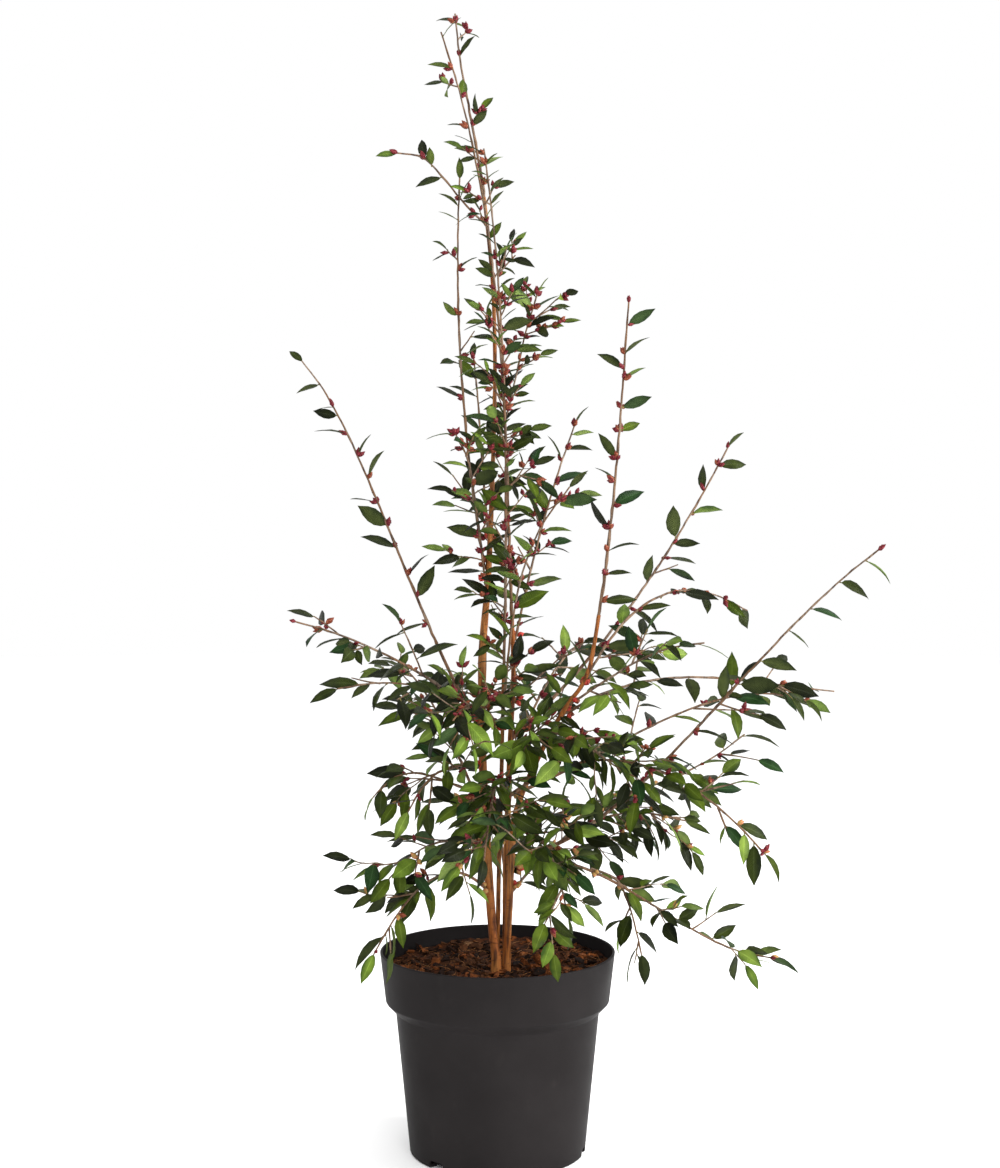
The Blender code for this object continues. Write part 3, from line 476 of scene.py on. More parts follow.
class Spray:
    """The leafy end of a shoot: a stem with side twigs, leaves and buds."""

    def __init__(self, shoot, stem):
        self.shoot = shoot
        self.stem = stem
        self.rng = random.Random(shoot.name)
        self.twigs = []
        self.leaves = []
        self.buds = []

    def owner(self, index):
        return (self.shoot.name, index)

    def grow(self, air):
        """Side twigs first, then leaves and buds along the stem and along each twig."""
        self.grow_twigs(air)
        for index, twig in enumerate([self.stem, *self.twigs]):
            self.grow_leaves(air, twig, index)

    def grow_twigs(self, air):
        length = way_length(self.stem.way)
        side = self.rng.choice((-1, 1))
        for index in range(self.shoot.twigs):
            share = 0.06 + 0.80 * (index + self.rng.uniform(0.1, 0.9)) / self.shoot.twigs
            root, direction = point_on(self.stem.way, length * share)
            side = -side
            reach = self.shoot.twig_length * self.rng.uniform(0.7, 1.0) * (1.15 - 0.45 * share)
            for _ in range(TRIES):
                away = turned_from(direction, side_of(direction) * side,
                                   math.radians(self.rng.uniform(32, 58)), self.rng.uniform(-0.8, 0.8))
                away = (away - UP * self.shoot.hang).normalized()
                lift = UP * (reach * self.rng.uniform(-0.16, 0.14))
                way = side_twig_way(root, away, reach, lift, TWIG_STEPS)
                twig = Twig(way, TWIG_ROOT_RADIUS, TWIG_TIP_RADIUS)
                balls = [ball for ball in twig.limb().balls() if (ball[0] - root).length > 0.006]
                if air.is_free(balls, self.owner(0)) and in_crown(balls):
                    self.twigs.append(twig)
                    air.fill(self.owner(len(self.twigs)), balls)
                    break

    def next_side(self, side):
        """Leaves alternate, except on a shoot that keeps more of them on one side."""
        if self.shoot.right_share == 0.5:
            return -side
        return 1 if self.rng.random() < self.shoot.right_share else -1

    def grow_leaves(self, air, twig, index):
        gap = self.shoot.leaf_gap
        length = way_length(twig.way)
        distance = gap * self.rng.uniform(0.35, 0.7)
        side = self.rng.choice((-1, 1))
        while distance < length - 0.003:
            root, direction = point_on(twig.way, distance)
            across = side_of(direction) * side
            for _ in range(TRIES):
                leaf = leaf_from(self.rng, root, direction, across, self.shoot.hang)
                if self.keep(air, self.leaves, leaf, index):
                    break
            if self.rng.random() < self.shoot.buds:
                self.keep(air, self.buds, bud_from(self.rng, root, direction, across), index)
            side = self.next_side(side)
            distance += gap * self.rng.uniform(0.8, 1.2)
        self.end_twig(air, twig, index)

    def end_twig(self, air, twig, index):
        """A leaf at the end of a twig, or a bud at the end of a stem that has no end leaf."""
        end, direction = point_on(twig.way, way_length(twig.way))
        if index or self.shoot.ends_in_leaf:
            along = (direction - UP * 0.15).normalized()
            leaf = Leaf(end - direction * 0.002, along, end_face(along, index), leaf_size(end.z) * 0.8, 0.2)
            self.keep(air, self.leaves, leaf, index)
        else:
            self.keep(air, self.buds, Leaf(end - direction * 0.002, direction, UP, BUD_LENGTH, 0), index)

    def keep(self, air, group, leaf, index):
        """Adds a leaf or bud where nothing else is."""
        balls = leaf.balls()
        if not (air.is_free(balls, self.owner(index)) and in_crown(balls)):
            return False
        group.append(leaf)
        air.fill((self.shoot.name, "leaf"), balls)
        return True


def stem_radius(stem, share):
    """A stem's radius at a share of its way: straight between the radii at its points."""
    spans = len(stem.radii) - 1
    index = min(int(spans * share), spans - 1)
    return stem.radii[index] + (stem.radii[index + 1] - stem.radii[index]) * (spans * share - index)


def grow_stem(stem):
    """A stem's limb, upright where it leaves the soil, with a flare at its foot."""
    way = smooth_way(stem.way, stem.steps)
    radii = [stem_radius(stem, step / stem.steps) for step in range(stem.steps + 1)]
    foot = Vector(stem.way[0])
    foot.z = SOIL_HEIGHT + CLEARANCE
    upright = foot + UP * UPRIGHT_FOOT
    way[:1] = [foot, upright, upright.lerp(way[1], 0.5)]
    radii[:1] = [radii[0] * stem.flare, radii[0] * (1 + (stem.flare - 1) * 0.35), radii[0]]
    return Limb(way, radii)


def shoot_way(shoot, limb):
    """The whole way of a shoot, from just clear of the limb that it leaves."""
    tip = Vector(shoot.tip)
    if shoot.height == 0:
        centre = limb.way[-1]
        direction = (limb.way[-1] - limb.way[-2]).normalized()
        start = centre + direction * CLEARANCE
        near = start.lerp(tip, 1 / 3) + Vector(shoot.near_bend)
        near = start + direction * (near - start).length
    else:
        centre, limb_direction, limb_radius = limb.at_height(shoot.height)
        near = centre.lerp(tip, 1 / 3) + Vector(shoot.near_bend)
        direction = (near - centre).normalized()
        outward = (direction - limb_direction * direction.dot(limb_direction)).normalized()
        cap = shoot.radius * math.sqrt(max(0, 1 - direction.dot(outward) ** 2))
        start = centre + outward * (limb_radius + CLEARANCE + cap)
        near = start + (near - centre)
    far = start.lerp(tip, 2 / 3) + Vector(shoot.far_bend)
    return arched_way(start, near, far, tip, SHOOT_STEPS)


def spray_steps(way):
    return max(4, round(way_length(way) / SPRAY_STEP))


def grow_plant():
    """Every stem, bough and spray of the plant, all clear of each other, and the air that they fill."""
    air = Air()
    stems = {stem.name: grow_stem(stem) for stem in STEMS}
    limbs = dict(stems)
    sprays = []
    for shoot in SHOOTS:
        way = shoot_way(shoot, limbs[shoot.limb])
        if shoot.bare:
            edge = CLEARANCE / way_length(way)
            bough = part_of(way, 0, shoot.bare, BOUGH_STEPS)
            tip_radius = shoot.radius + (SPRAY_TIP_RADIUS - shoot.radius) * shoot.bare
            limbs["bough_" + shoot.name] = Limb(bough, tapered(shoot.radius, tip_radius, len(bough)))
            leafy = part_of(way, shoot.bare + edge, 1, spray_steps(way))
        else:
            tip_radius = shoot.radius
            leafy = part_of(way, 0, 1, spray_steps(way))
        spray_radius = min(tip_radius, SPRAY_ROOT_RADIUS)
        sprays.append(Spray(shoot, Twig(leafy, spray_radius, SPRAY_TIP_RADIUS)))
    for name, limb in limbs.items():
        air.fill((name, 0), limb.balls())
    for spray in sprays:
        air.fill(spray.owner(0), spray.stem.limb().balls())
    for spray in sprays:
        spray.grow(air)
    return stems, {name: limb for name, limb in limbs.items() if name not in stems}, sprays, air


# Finer growth: what each spray adds between its first twigs and leaves
FINE_TWIG_GAP = 0.024
FINE_TWIG_LENGTH = (0.018, 0.042)
FINE_TWIG_RADII = (0.0009, 0.0006)
FINE_TWIG_SPREAD = (30, 60)
FINE_TWIG_STEPS = 4
FINE_LEAF_GAP = 0.009
FINE_LEAF_SIZE = (0.55, 1.0)
SLIM = 0.55
BOX_MARGIN = 0.002
END_LEAF = 0.75

# The crown is dense up to one height and open from another. Everywhere the fill falls off away from the
# stems, counted from their middle, and a step to the front or back counts less than one to the side.
DENSE_TO = 0.44
OPEN_FROM = 0.58
OPEN_SHARE = 0.5
STEMS_MIDDLE = 0.01
DEPTH_WEIGHT = 0.8
MOST_FILL = 1.25
LEAST_FILL = 0.15
FILL_REACH = 0.12
LOW_FILL_REACH = 0.06

# How much of that a shoot takes, where it isn't all of it: vigorous shoots stay nearly bare
FILL_OF_SHOOTS = {"leader_top": 0.15, "second_top": 0.4, "third_top": 1.7, "left_tall": 0.12,
                  "right_top": 0.12, "right_tall": 0.3, "right_long": 0.2, "thin_left": 0.15,
                  "top_left": 0.3, "left_out": 0.3, "left_under": 0.4, "left_middle": 0.3,
                  "centre_left": 0.35, "left_hanging": 0.6, "back_right": 0.5, "right_arching": 0.4,
                  "right_level": 0.15, "right_low": 1.6, "right_forward": 0.3, "right_middle": 0.15,
                  "right_short": 0.9, "column_right": 0.5, "column_front": 0.2, "column_left": 0.8,
                  "column_high": 1.6, "column_back": 0.6, "right_inner": 0.1, "rim_hanging": 0.1,
                  "low_right": 0.9, "right_drooping": 0.8, "left_low": 0.5}

# Shoots that fill in twice
FULL_SHOOTS = ("centre_right", "front_hanging", "front_low", "front_bough", "right_drooping", "low_right")


def crowding(shoot, point):
    """How much of the free air a spray fills at a point: most of it low round the stems, little far out."""
    from_stems = math.hypot(point.x - STEMS_MIDDLE, point.y * DEPTH_WEIGHT)
    low = min(1, max(0, (OPEN_FROM - point.z) / (OPEN_FROM - DENSE_TO)))
    share = min(1, max(LEAST_FILL, MOST_FILL - from_stems / (FILL_REACH + LOW_FILL_REACH * low)))
    return share * (OPEN_SHARE + (1 - OPEN_SHARE) * low) * FILL_OF_SHOOTS.get(shoot.name, 1)


def slim_balls(leaf):
    """A leaf's balls made slimmer, so that leaves may lie close above each other."""
    return [(centre, radius * SLIM) for centre, radius in leaf.balls()]


def in_box(balls):
    """Whether balls stay within the reach of the solids."""
    low, high = CAD_BOX
    return all(low[axis] - BOX_MARGIN < centre[axis] - radius
               and centre[axis] + radius < high[axis] + BOX_MARGIN
               for centre, radius in balls for axis in range(3))


class FullSpray:
    """A spray with its finer twigs, its further leaves and its buds in clusters."""

    def __init__(self, spray):
        self.spray = spray
        self.shoot = spray.shoot
        self.rng = random.Random(spray.shoot.name + " finer")
        self.first_twigs = [spray.stem, *spray.twigs]
        self.fine_twigs = []
        self.leaves = [(leaf, 0) for leaf in spray.leaves]
        self.buds = []

    def owner(self, index):
        return (self.shoot.name, index)

    def keep(self, air, leaf, index):
        balls = slim_balls(leaf)
        if not (air.is_free(balls, self.owner(index)) and in_crown(balls) and in_box(balls)):
            return False
        self.leaves.append((leaf, index))
        air.fill((self.shoot.name, "leaf"), balls)
        return True

    def grow(self, air):
        for _ in range(2 if self.shoot.name in FULL_SHOOTS else 1):
            for index, twig in enumerate(self.first_twigs):
                self.grow_fine_twigs(air, twig, index)
            for index, twig in enumerate(self.first_twigs):
                self.grow_between(air, twig, index)

    def grow_fine_twigs(self, air, parent, index):
        length = way_length(parent.way)
        count = length / FINE_TWIG_GAP
        for step in range(round(count)):
            root, direction = point_on(parent.way, length * (step + self.rng.uniform(0.2, 0.9)) / count)
            if self.rng.random() > crowding(self.shoot, root):
                continue
            reach = self.rng.uniform(*FINE_TWIG_LENGTH)
            for _ in range(TRIES):
                side = self.rng.choice((-1, 1))
                spread = math.radians(self.rng.uniform(*FINE_TWIG_SPREAD))
                away = turned_from(direction, side_of(direction) * side, spread, self.rng.uniform(-1.2, 1.2))
                lift = UP * (reach * self.rng.uniform(-0.2, 0.2))
                twig = Twig(side_twig_way(root, away, reach, lift, FINE_TWIG_STEPS), *FINE_TWIG_RADII)
                balls = [ball for ball in twig.limb().balls() if (ball[0] - root).length > 0.005]
                if air.is_free(balls, self.owner(index)) and in_crown(balls) and in_box(balls):
                    self.fine_twigs.append(twig)
                    number = len(self.first_twigs) + len(self.fine_twigs)
                    air.fill(self.owner(number), balls)
                    self.grow_fine_leaves(air, twig, number)
                    break

    def grow_fine_leaves(self, air, twig, number):
        length = way_length(twig.way)
        distance = length * self.rng.uniform(0.25, 0.45)
        side = self.rng.choice((-1, 1))
        while distance < length - 0.003:
            root, direction = point_on(twig.way, distance)
            self.try_leaf(air, root, direction, side, number)
            side = -side
            distance += FINE_LEAF_GAP * self.rng.uniform(0.8, 1.3)
        end, direction = point_on(twig.way, length)
        along = (direction - UP * 0.15).normalized()
        length = leaf_size(end.z) * END_LEAF
        self.keep(air, Leaf(end - direction * 0.001, along, end_face(along, number), length, 0.2), number)

    def try_leaf(self, air, root, direction, side, number):
        for _ in range(TRIES):
            leaf = leaf_from(self.rng, root, direction, side_of(direction) * side, self.shoot.hang)
            leaf.length *= self.rng.uniform(*FINE_LEAF_SIZE)
            if self.keep(air, leaf, number):
                return

    def grow_between(self, air, twig, index):
        length = way_length(twig.way)
        distance = self.rng.uniform(0.006, 0.012)
        while distance < length - 0.002:
            root, direction = point_on(twig.way, distance)
            if self.rng.random() < crowding(self.shoot, root):
                self.try_leaf(air, root, direction, self.rng.choice((-1, 1)), index)
            distance += FINE_LEAF_GAP * self.rng.uniform(0.9, 1.5)


# Buds: how likely each leaf's foot carries a cluster, and how long and how plump its buds are
BUDDED_SHOOTS = {"leader_top": 0.7, "second_top": 0.5, "third_top": 0.5, "right_top": 0.85,
                 "left_tall": 0.8, "top_left": 0.8, "right_tall": 0.7, "right_long": 0.35,
                 "column_left": 0.6, "column_right": 0.8, "column_front": 0.7, "column_high": 0.6,
                 "right_arching": 0.35, "right_inner": 0.4, "front_bough": 0.35, "thin_left": 0.3}
USUAL_BUDS = 0.14
BUD_SIZE = (0.0056, 0.0098)
BUD_WIDTH = 0.56
FOOT_BUD_SIZE = (0.0058, 0.0088)
FOOT_BUD_WIDTH = 0.80
FOOT_CLUSTERS = 0.75
BUD_LIFT = 0.4
BUD_SPREAD = 0.55
FOOT_BUD_FORWARD = 0.3
FOOT_BUD_SPREAD = 0.6
RUST_SHARE = 0.35
PALE_SHARE = 0.60
PALE_BUD_HEIGHT = 0.36
BUD_COLOURS = {
    "crimson": ((0.080, 0.0060, 0.010), (0.215, 0.034, 0.040)),
    "scarlet": ((0.330, 0.020, 0.016), (0.520, 0.120, 0.080)),
    "rust": ((0.120, 0.024, 0.011), (0.290, 0.095, 0.048)),
    "pale": ((0.300, 0.210, 0.060), (0.480, 0.130, 0.080)),
}


@dataclass
class Bud:
    """A bud of one colour, with its root, its direction, its length and its width as a share of it."""
    colour: str
    root: Vector
    along: Vector
    length: float
    width: float


def any_way(rng):
    return Vector([rng.gauss(0, 1) for _ in range(3)])


def bud_colour(rng, height, usual):
    """Pale buds low in the crown, and some rusty ones among those of the usual colour above."""
    if height < PALE_BUD_HEIGHT and rng.random() < PALE_SHARE:
        return "pale"
    return "rust" if rng.random() < RUST_SHARE else usual


def leaf_foot_buds(full, rng):
    """Small tight groups of slim buds at the feet of leaves and at the ends of shoots."""
    buds = []
    for leaf, _ in full.leaves:
        if rng.random() > BUDDED_SHOOTS.get(full.shoot.name, USUAL_BUDS):
            continue
        for _ in range(rng.choice((1, 2, 2, 3, 4))):
            along = (leaf.along + UP * BUD_LIFT + any_way(rng) * BUD_SPREAD).normalized()
            buds.append(Bud(bud_colour(rng, leaf.root.z, "crimson"), leaf.root + along * 0.0008, along,
                            rng.uniform(*BUD_SIZE), BUD_WIDTH))
    for bud in full.spray.buds:
        for turned in range(2):
            along = (bud.along + any_way(rng) * 0.25 * turned).normalized()
            buds.append(Bud(bud_colour(rng, bud.root.z, "crimson"), bud.root, along,
                            rng.uniform(*BUD_SIZE) * 1.1, BUD_WIDTH))
    return buds


def shoot_foot_buds(way, rng):
    """A cluster of plump buds where a shoot leaves its limb."""
    buds = []
    if rng.random() < FOOT_CLUSTERS:
        away = (way[1] - way[0]).normalized()
        for _ in range(rng.choice((2, 3, 4, 5))):
            along = (away + FRONT * FOOT_BUD_FORWARD + any_way(rng) * FOOT_BUD_SPREAD).normalized()
            buds.append(Bud(bud_colour(rng, way[0].z, "scarlet"), way[0] + along * 0.002, along,
                            rng.uniform(*FOOT_BUD_SIZE), FOOT_BUD_WIDTH))
    return buds


class JoinedShapes:
    """Many small shapes gathered into one mesh, with the finish of their faces and a map of the surface."""

    def __init__(self):
        self.points = []
        self.faces = []
        self.finishes = []
        self.maps = []
        self.count = 0

    def add(self, points, faces, finishes=None, surface=None):
        self.points.append(points)
        self.faces.extend([[corner + self.count for corner in face] for face in faces])
        self.finishes.extend(finishes or [0] * len(faces))
        if surface is not None:
            self.maps.extend([surface[corner] for face in faces for corner in face])
        self.count += len(points)

    def mesh(self, name, sharp=60):
        mesh = bpy.data.meshes.new(name)
        mesh.from_pydata(np.concatenate(self.points).tolist(), [], self.faces)
        mesh.polygons.foreach_set("material_index", self.finishes)
        if self.maps:
            layer = mesh.uv_layers.new(name="surface")
            layer.data.foreach_set("uv", np.array(self.maps, np.float32).ravel())
        mesh.shade_smooth()
        mesh.set_sharp_from_angle(angle=math.radians(sharp))
        return mesh


def read_shape(shape):
    """The points and faces of a bmesh, as arrays that can be placed many times."""
    bmesh.ops.recalc_face_normals(shape, faces=shape.faces)
    shape.verts.index_update()
    points = np.array([vertex.co for vertex in shape.verts])
    faces = [[vertex.index for vertex in face.verts] for face in shape.faces]
    shape.free()
    return points, faces


# Leaf blade: rows from the foot to the tip with the half width of each, and columns across
BLADE_ROWS = (0.0, 0.10, 0.30, 0.52, 0.74, 0.90, 1.0)
BLADE_WIDTHS = (0.06, 0.52, 0.94, 1.0, 0.72, 0.27, 0.015)
BLADE_COLUMNS = (-1.0, -0.52, -0.045, 0.045, 0.52, 1.0)
BLADE_THICKNESS = 0.0005
PETIOLE_SHARE = 0.08

# How single leaves differ: their width as a share of the usual, the fold along the midrib, the curl and the
# waves of the margins as shares of the half width, the hooked tip and the sideways sweep as shares of the
# length, and the twist in radians
LEAF_WIDTHS = (0.84, 1.12)
LEAF_FOLD = (0.12, 0.42)
LEAF_CURL = (0.10, 0.32)
LEAF_HOOK = (0.01, 0.05)
LEAF_SWEEP = 0.07
LEAF_WAVE = 0.07
LEAF_TWIST = 0.35
RIB_DEPTH = 0.00012


def leaf_blade():
    """A flat blade, its two sides joined at the margin: X across, Y along, Z 0 above and -1 below."""
    shape = bmesh.new()
    columns = len(BLADE_COLUMNS) - 1
    rows = len(BLADE_ROWS) - 1
    bmesh.ops.create_grid(shape, x_segments=columns, y_segments=rows, size=0.5)
    for vertex in shape.verts:
        column = round((vertex.co.x + 0.5) * columns)
        row = round((vertex.co.y + 0.5) * rows)
        vertex.co = (BLADE_COLUMNS[column], BLADE_ROWS[row], 0)
    under = bmesh.ops.duplicate(shape, geom=shape.faces)["geom"]
    under_faces = [item for item in under if isinstance(item, bmesh.types.BMFace)]
    bmesh.ops.reverse_faces(shape, faces=under_faces)
    for vertex in [item for item in under if isinstance(item, bmesh.types.BMVert)]:
        if abs(vertex.co.x) < 0.99 and 0 < vertex.co.y < 1:
            vertex.co.z = -1
    bmesh.ops.remove_doubles(shape, verts=shape.verts, dist=0.0001)
    shape.verts.index_update()
    points = np.array([vertex.co for vertex in shape.verts])
    faces = [[vertex.index for vertex in face.verts] for face in shape.faces]
    finishes = [blade_finish(face) for face in shape.faces]
    shape.free()
    return points, faces, finishes


def blade_finish(face):
    """0 on the upper side, 1 on its midrib, 2 on the under side."""
    if face.normal.z < 0 or any(vertex.co.z < 0 for vertex in face.verts):
        return 2
    return 1 if max(abs(vertex.co.x) for vertex in face.verts) < 0.1 else 0


def placed_leaf(leaf, blade, rng):
    """The blade's points on one leaf: its outline, fold along the midrib, droop, twist and wavy margin."""
    across, along, layer = blade.T
    start = PETIOLE_SHARE * 0.9
    share = start + (1 - start) * along
    half_width = leaf.length * LEAF_WIDTH / 2 * rng.uniform(*LEAF_WIDTHS)
    width = half_width * np.interp(along, BLADE_ROWS, BLADE_WIDTHS)
    fold = rng.uniform(*LEAF_FOLD)
    curl = rng.uniform(*LEAF_CURL)
    sag = leaf.droop * leaf.length * np.clip((share - 0.15) / 0.85, 0, 1) ** 1.8
    hook = rng.uniform(*LEAF_HOOK) * leaf.length * np.clip((share - 0.72) / 0.28, 0, 1) ** 2
    sweep = rng.uniform(-LEAF_SWEEP, LEAF_SWEEP) * leaf.length * share ** 2
    ripple = rng.uniform(0, LEAF_WAVE)
    wave = ripple * np.sin(along * rng.uniform(7, 12) + rng.uniform(0, 6)) * np.abs(across)
    twist = rng.uniform(-LEAF_TWIST, LEAF_TWIST) * share
    side = np.array(leaf.along.cross(leaf.face))
    face = np.array(leaf.face)
    side_here = np.cos(twist)[:, None] * side + np.sin(twist)[:, None] * face
    face_here = np.cos(twist)[:, None] * face - np.sin(twist)[:, None] * side
    raised = width * (fold * np.abs(across) - curl * across ** 2 + wave)
    rib = np.where(np.abs(across) < 0.1, -RIB_DEPTH, 0)
    height = raised + rib + layer * BLADE_THICKNESS
    return (np.array(leaf.root) + np.outer(leaf.length * share, np.array(leaf.along))
            - np.outer(sag + hook, face) + np.outer(sweep, side)
            + (width * across)[:, None] * side_here + height[:, None] * face_here)


def tube_faces(rings, sides):
    """The faces of a tube that is closed at both ends."""
    faces = []
    for ring in range(rings - 1):
        for side in range(sides):
            following = (side + 1) % sides
            here = ring * sides
            faces.append([here + side, here + following, here + sides + following, here + sides + side])
    faces.append(list(range(sides))[::-1])
    faces.append([(rings - 1) * sides + side for side in range(sides)])
    return faces


def tube_points(way, radii, sides):
    """Rings of points round a way, without twist."""
    direction = (way[1] - way[0]).normalized()
    side = direction.orthogonal().normalized()
    points = []
    for index, place in enumerate(way):
        turned = (way[min(index + 1, len(way) - 1)] - way[max(index - 1, 0)]).normalized()
        side = direction.rotation_difference(turned) @ side
        side = (side - turned * side.dot(turned)).normalized()
        direction = turned
        other = direction.cross(side)
        for corner in range(sides):
            turn = math.tau * corner / sides
            points.append(place + (side * math.cos(turn) + other * math.sin(turn)) * radii[index])
    return np.array(points)


TWIG_SIDES = 6
TWIG_RING_GAP = 0.006
TWIG_WOBBLE = 0.14
TWIG_SLIM = 0.85
PETIOLE_SIDES = 5


def add_twig(twigs, way, first_radius, last_radius, rng):
    """A twig with a slight zigzag and a swelling here and there where a leaf stood."""
    steps = max(3, round(way_length(way) / TWIG_RING_GAP))
    fine = smooth_way(way, steps)
    radii = tapered(first_radius, last_radius, len(fine))
    for index in range(1, len(fine) - 1):
        fine[index] = fine[index] + any_way(rng) * radii[index] * TWIG_WOBBLE
        radii[index] *= rng.choice((0.94, 1, 1, 1.22))
    twigs.add(tube_points(fine, radii, TWIG_SIDES), tube_faces(len(fine), TWIG_SIDES))


def add_petiole(petioles, leaf, rng):
    """The short stalk between twig and blade."""
    end = leaf.root + leaf.along * (leaf.length * PETIOLE_SHARE * 1.6)
    middle = leaf.root.lerp(end, 0.5) + leaf.face * 0.0002
    start = leaf.root - leaf.along * 0.0004
    way = [start, middle, end]
    thick = 0.00055 + 0.00012 * rng.random()
    radii = [thick * 1.25, thick, thick * 0.55]
    petioles.add(tube_points(way, radii, PETIOLE_SIDES), tube_faces(len(way), PETIOLE_SIDES))


BUD_PROFILE = ((0.0, 0.34), (0.16, 0.74), (0.38, 1.0), (0.62, 0.84), (0.82, 0.42), (1.0, 0.03))
BUD_SIDES = 6


def add_bud(shapes, bud, rng):
    """A pointed bud, its scales shown as ridges that wind up it."""
    side = bud.along.orthogonal().normalized()
    other = bud.along.cross(side)
    width = bud.length * bud.width / 2 * rng.uniform(0.85, 1.1)
    start = rng.uniform(0, math.tau)
    points = []
    for level, (share, radius) in enumerate(BUD_PROFILE):
        for corner in range(BUD_SIDES):
            turn = start + math.tau * (corner + level * 0.5) / BUD_SIDES
            reach = width * radius * (1.08 if (corner + level) % 2 else 0.92)
            centre = bud.root + bud.along * (bud.length * share)
            points.append(centre + (side * math.cos(turn) + other * math.sin(turn)) * reach)
    shapes.add(np.array(points), tube_faces(len(BUD_PROFILE), BUD_SIDES))


# Stems and boughs, and how far their bark goes into the soil or the limb that carries them
BARK_RING_GAP = 0.0022
STEM_SIDES = 28
BOUGH_SIDES = 14
STEM_SUNK = 0.006
STEM_FOOT_FLARE = 1.15
BOUGH_SUNK = 0.004
BOUGH_FOOT_FLARE = 1.3

# How far the bark's relief stands out, as shares of the limb's radius
RIDGE_RISE = 0.085
STRIP_RISE = 0.040
SWELLING_RISE = 0.06
SCAR_RISE = 0.35
SCAR_FROM = 0.42

# The collar round a bough's foot: its reach and its rise as shares of the bough's radius
COLLAR_REACH = 2.2
COLLAR_RISE = 0.42


def bark_tube(name, way, radii, sides, feet):
    """A limb with the bark's relief: long shallow ridges, knots, and a collar where each bough leaves."""
    rings = max(8, round(way_length(way) / BARK_RING_GAP))
    fine = smooth_way(way, rings)
    spans = len(way) - 1
    radii = np.interp(np.linspace(0, spans, rings + 1), range(spans + 1), radii)
    base = tube_points(fine, [1] * len(fine), sides).reshape(rings + 1, sides, 3)
    shape = bmesh.new()
    bmesh.ops.create_grid(shape, x_segments=sides, y_segments=rings, size=0.5)
    seed = Vector((len(name) * 1.7, sum(map(ord, name)) * 0.13, 0))
    for vertex in shape.verts:
        ring = round((vertex.co.y + 0.5) * rings)
        centre = fine[ring]
        out = Vector(base[ring, round((vertex.co.x + 0.5) * sides) % sides]) - centre
        place = centre + out * radii[ring]
        vertex.co = place + out * (bark_relief(out, centre, radii[ring], seed) + collar(place, feet))
    bmesh.ops.remove_doubles(shape, verts=shape.verts, dist=0.00001)
    rims = [edge for edge in shape.edges if edge.is_boundary]
    bmesh.ops.holes_fill(shape, edges=rims)
    bmesh.ops.recalc_face_normals(shape, faces=shape.faces)
    mesh = bpy.data.meshes.new(name)
    shape.to_mesh(mesh)
    shape.free()
    mesh.shade_smooth()
    mesh.set_sharp_from_angle(angle=math.radians(70))
    return mesh


def bark_relief(out, centre, radius, seed):
    """How far the bark stands out here: ridges along the limb, small swellings, and rings of old scars."""
    ridges = noise.noise(Vector((out.x * 3.2, out.y * 3.2, centre.z * 22)) + seed)
    strips = noise.noise(Vector((out.x * 9, out.y * 9, centre.z * 60)) + seed * 2)
    swelling = noise.noise(Vector((0, 0, centre.z * 34 + centre.x * 20)) + seed * 3)
    scar = max(0, noise.noise(Vector((out.x * 0.8, out.y * 0.8, centre.z * 95)) + seed * 4) - SCAR_FROM)
    return radius * (RIDGE_RISE * ridges + STRIP_RISE * strips + SWELLING_RISE * swelling + SCAR_RISE * scar)


def collar(place, feet):
    """The swelling of a limb round the foot of each bough that leaves it."""
    rise = 0
    for foot, size in feet:
        near = (place - foot).length / (size * COLLAR_REACH)
        if near < 2:
            rise += size * COLLAR_RISE * math.exp(-near * near)
    return rise


# Pot
POT_TURNS = 160
BEAD_STEPS = 6
FOOT_RECESS = 0.0012
FOOT_RECESS_EDGE = (0.022, 0.019)
COLLAR_ROUNDING = 0.003


def arc(centre_radius, centre_height, radius, first, last, steps):
    """Points of a round corner in the pot's profile, between two angles in degrees."""
    return [(centre_radius + radius * math.cos(math.radians(first + (last - first) * step / steps)),
             centre_height + radius * math.sin(math.radians(first + (last - first) * step / steps)))
            for step in range(steps + 1)]


def outside_profile():
    """The pot's outside from the middle of its underside up to the rim's bead."""
    bead = POT_WALL / 2 + 0.0003
    inner, outer = FOOT_RECESS_EDGE
    return [(0, FOOT_RECESS), (FOOT_RADIUS - inner, FOOT_RECESS), (FOOT_RADIUS - outer, 0),
            *arc(FOOT_RADIUS - FOOT_ROUNDING, FOOT_ROUNDING, FOOT_ROUNDING, -90, 4, 5),
            (BODY_TOP_RADIUS - 0.0012, BODY_TOP_HEIGHT - 0.012),
            *arc(BODY_TOP_RADIUS + 0.0028, BODY_TOP_HEIGHT - 0.0022, COLLAR_ROUNDING, 176, 122, 4),
            *arc(LIP_RADIUS - COLLAR_ROUNDING, LIP_HEIGHT + 0.001, COLLAR_ROUNDING, -48, 5, 5),
            (RIM_RADIUS - 0.0004, POT_HEIGHT - 0.0042),
            *arc(RIM_RADIUS - bead, POT_HEIGHT - bead, bead, -20, 200, BEAD_STEPS * 2)]


def inside_profile():
    """The pot's inside from below its rim down to the middle of its floor."""
    foot_inside = FOOT_RADIUS - POT_WALL
    return [(LIP_RADIUS - POT_WALL, LIP_HEIGHT + POT_WALL),
            (BODY_TOP_RADIUS - POT_WALL, BODY_TOP_HEIGHT + POT_WALL),
            (foot_inside, POT_FLOOR), (0, POT_FLOOR)]


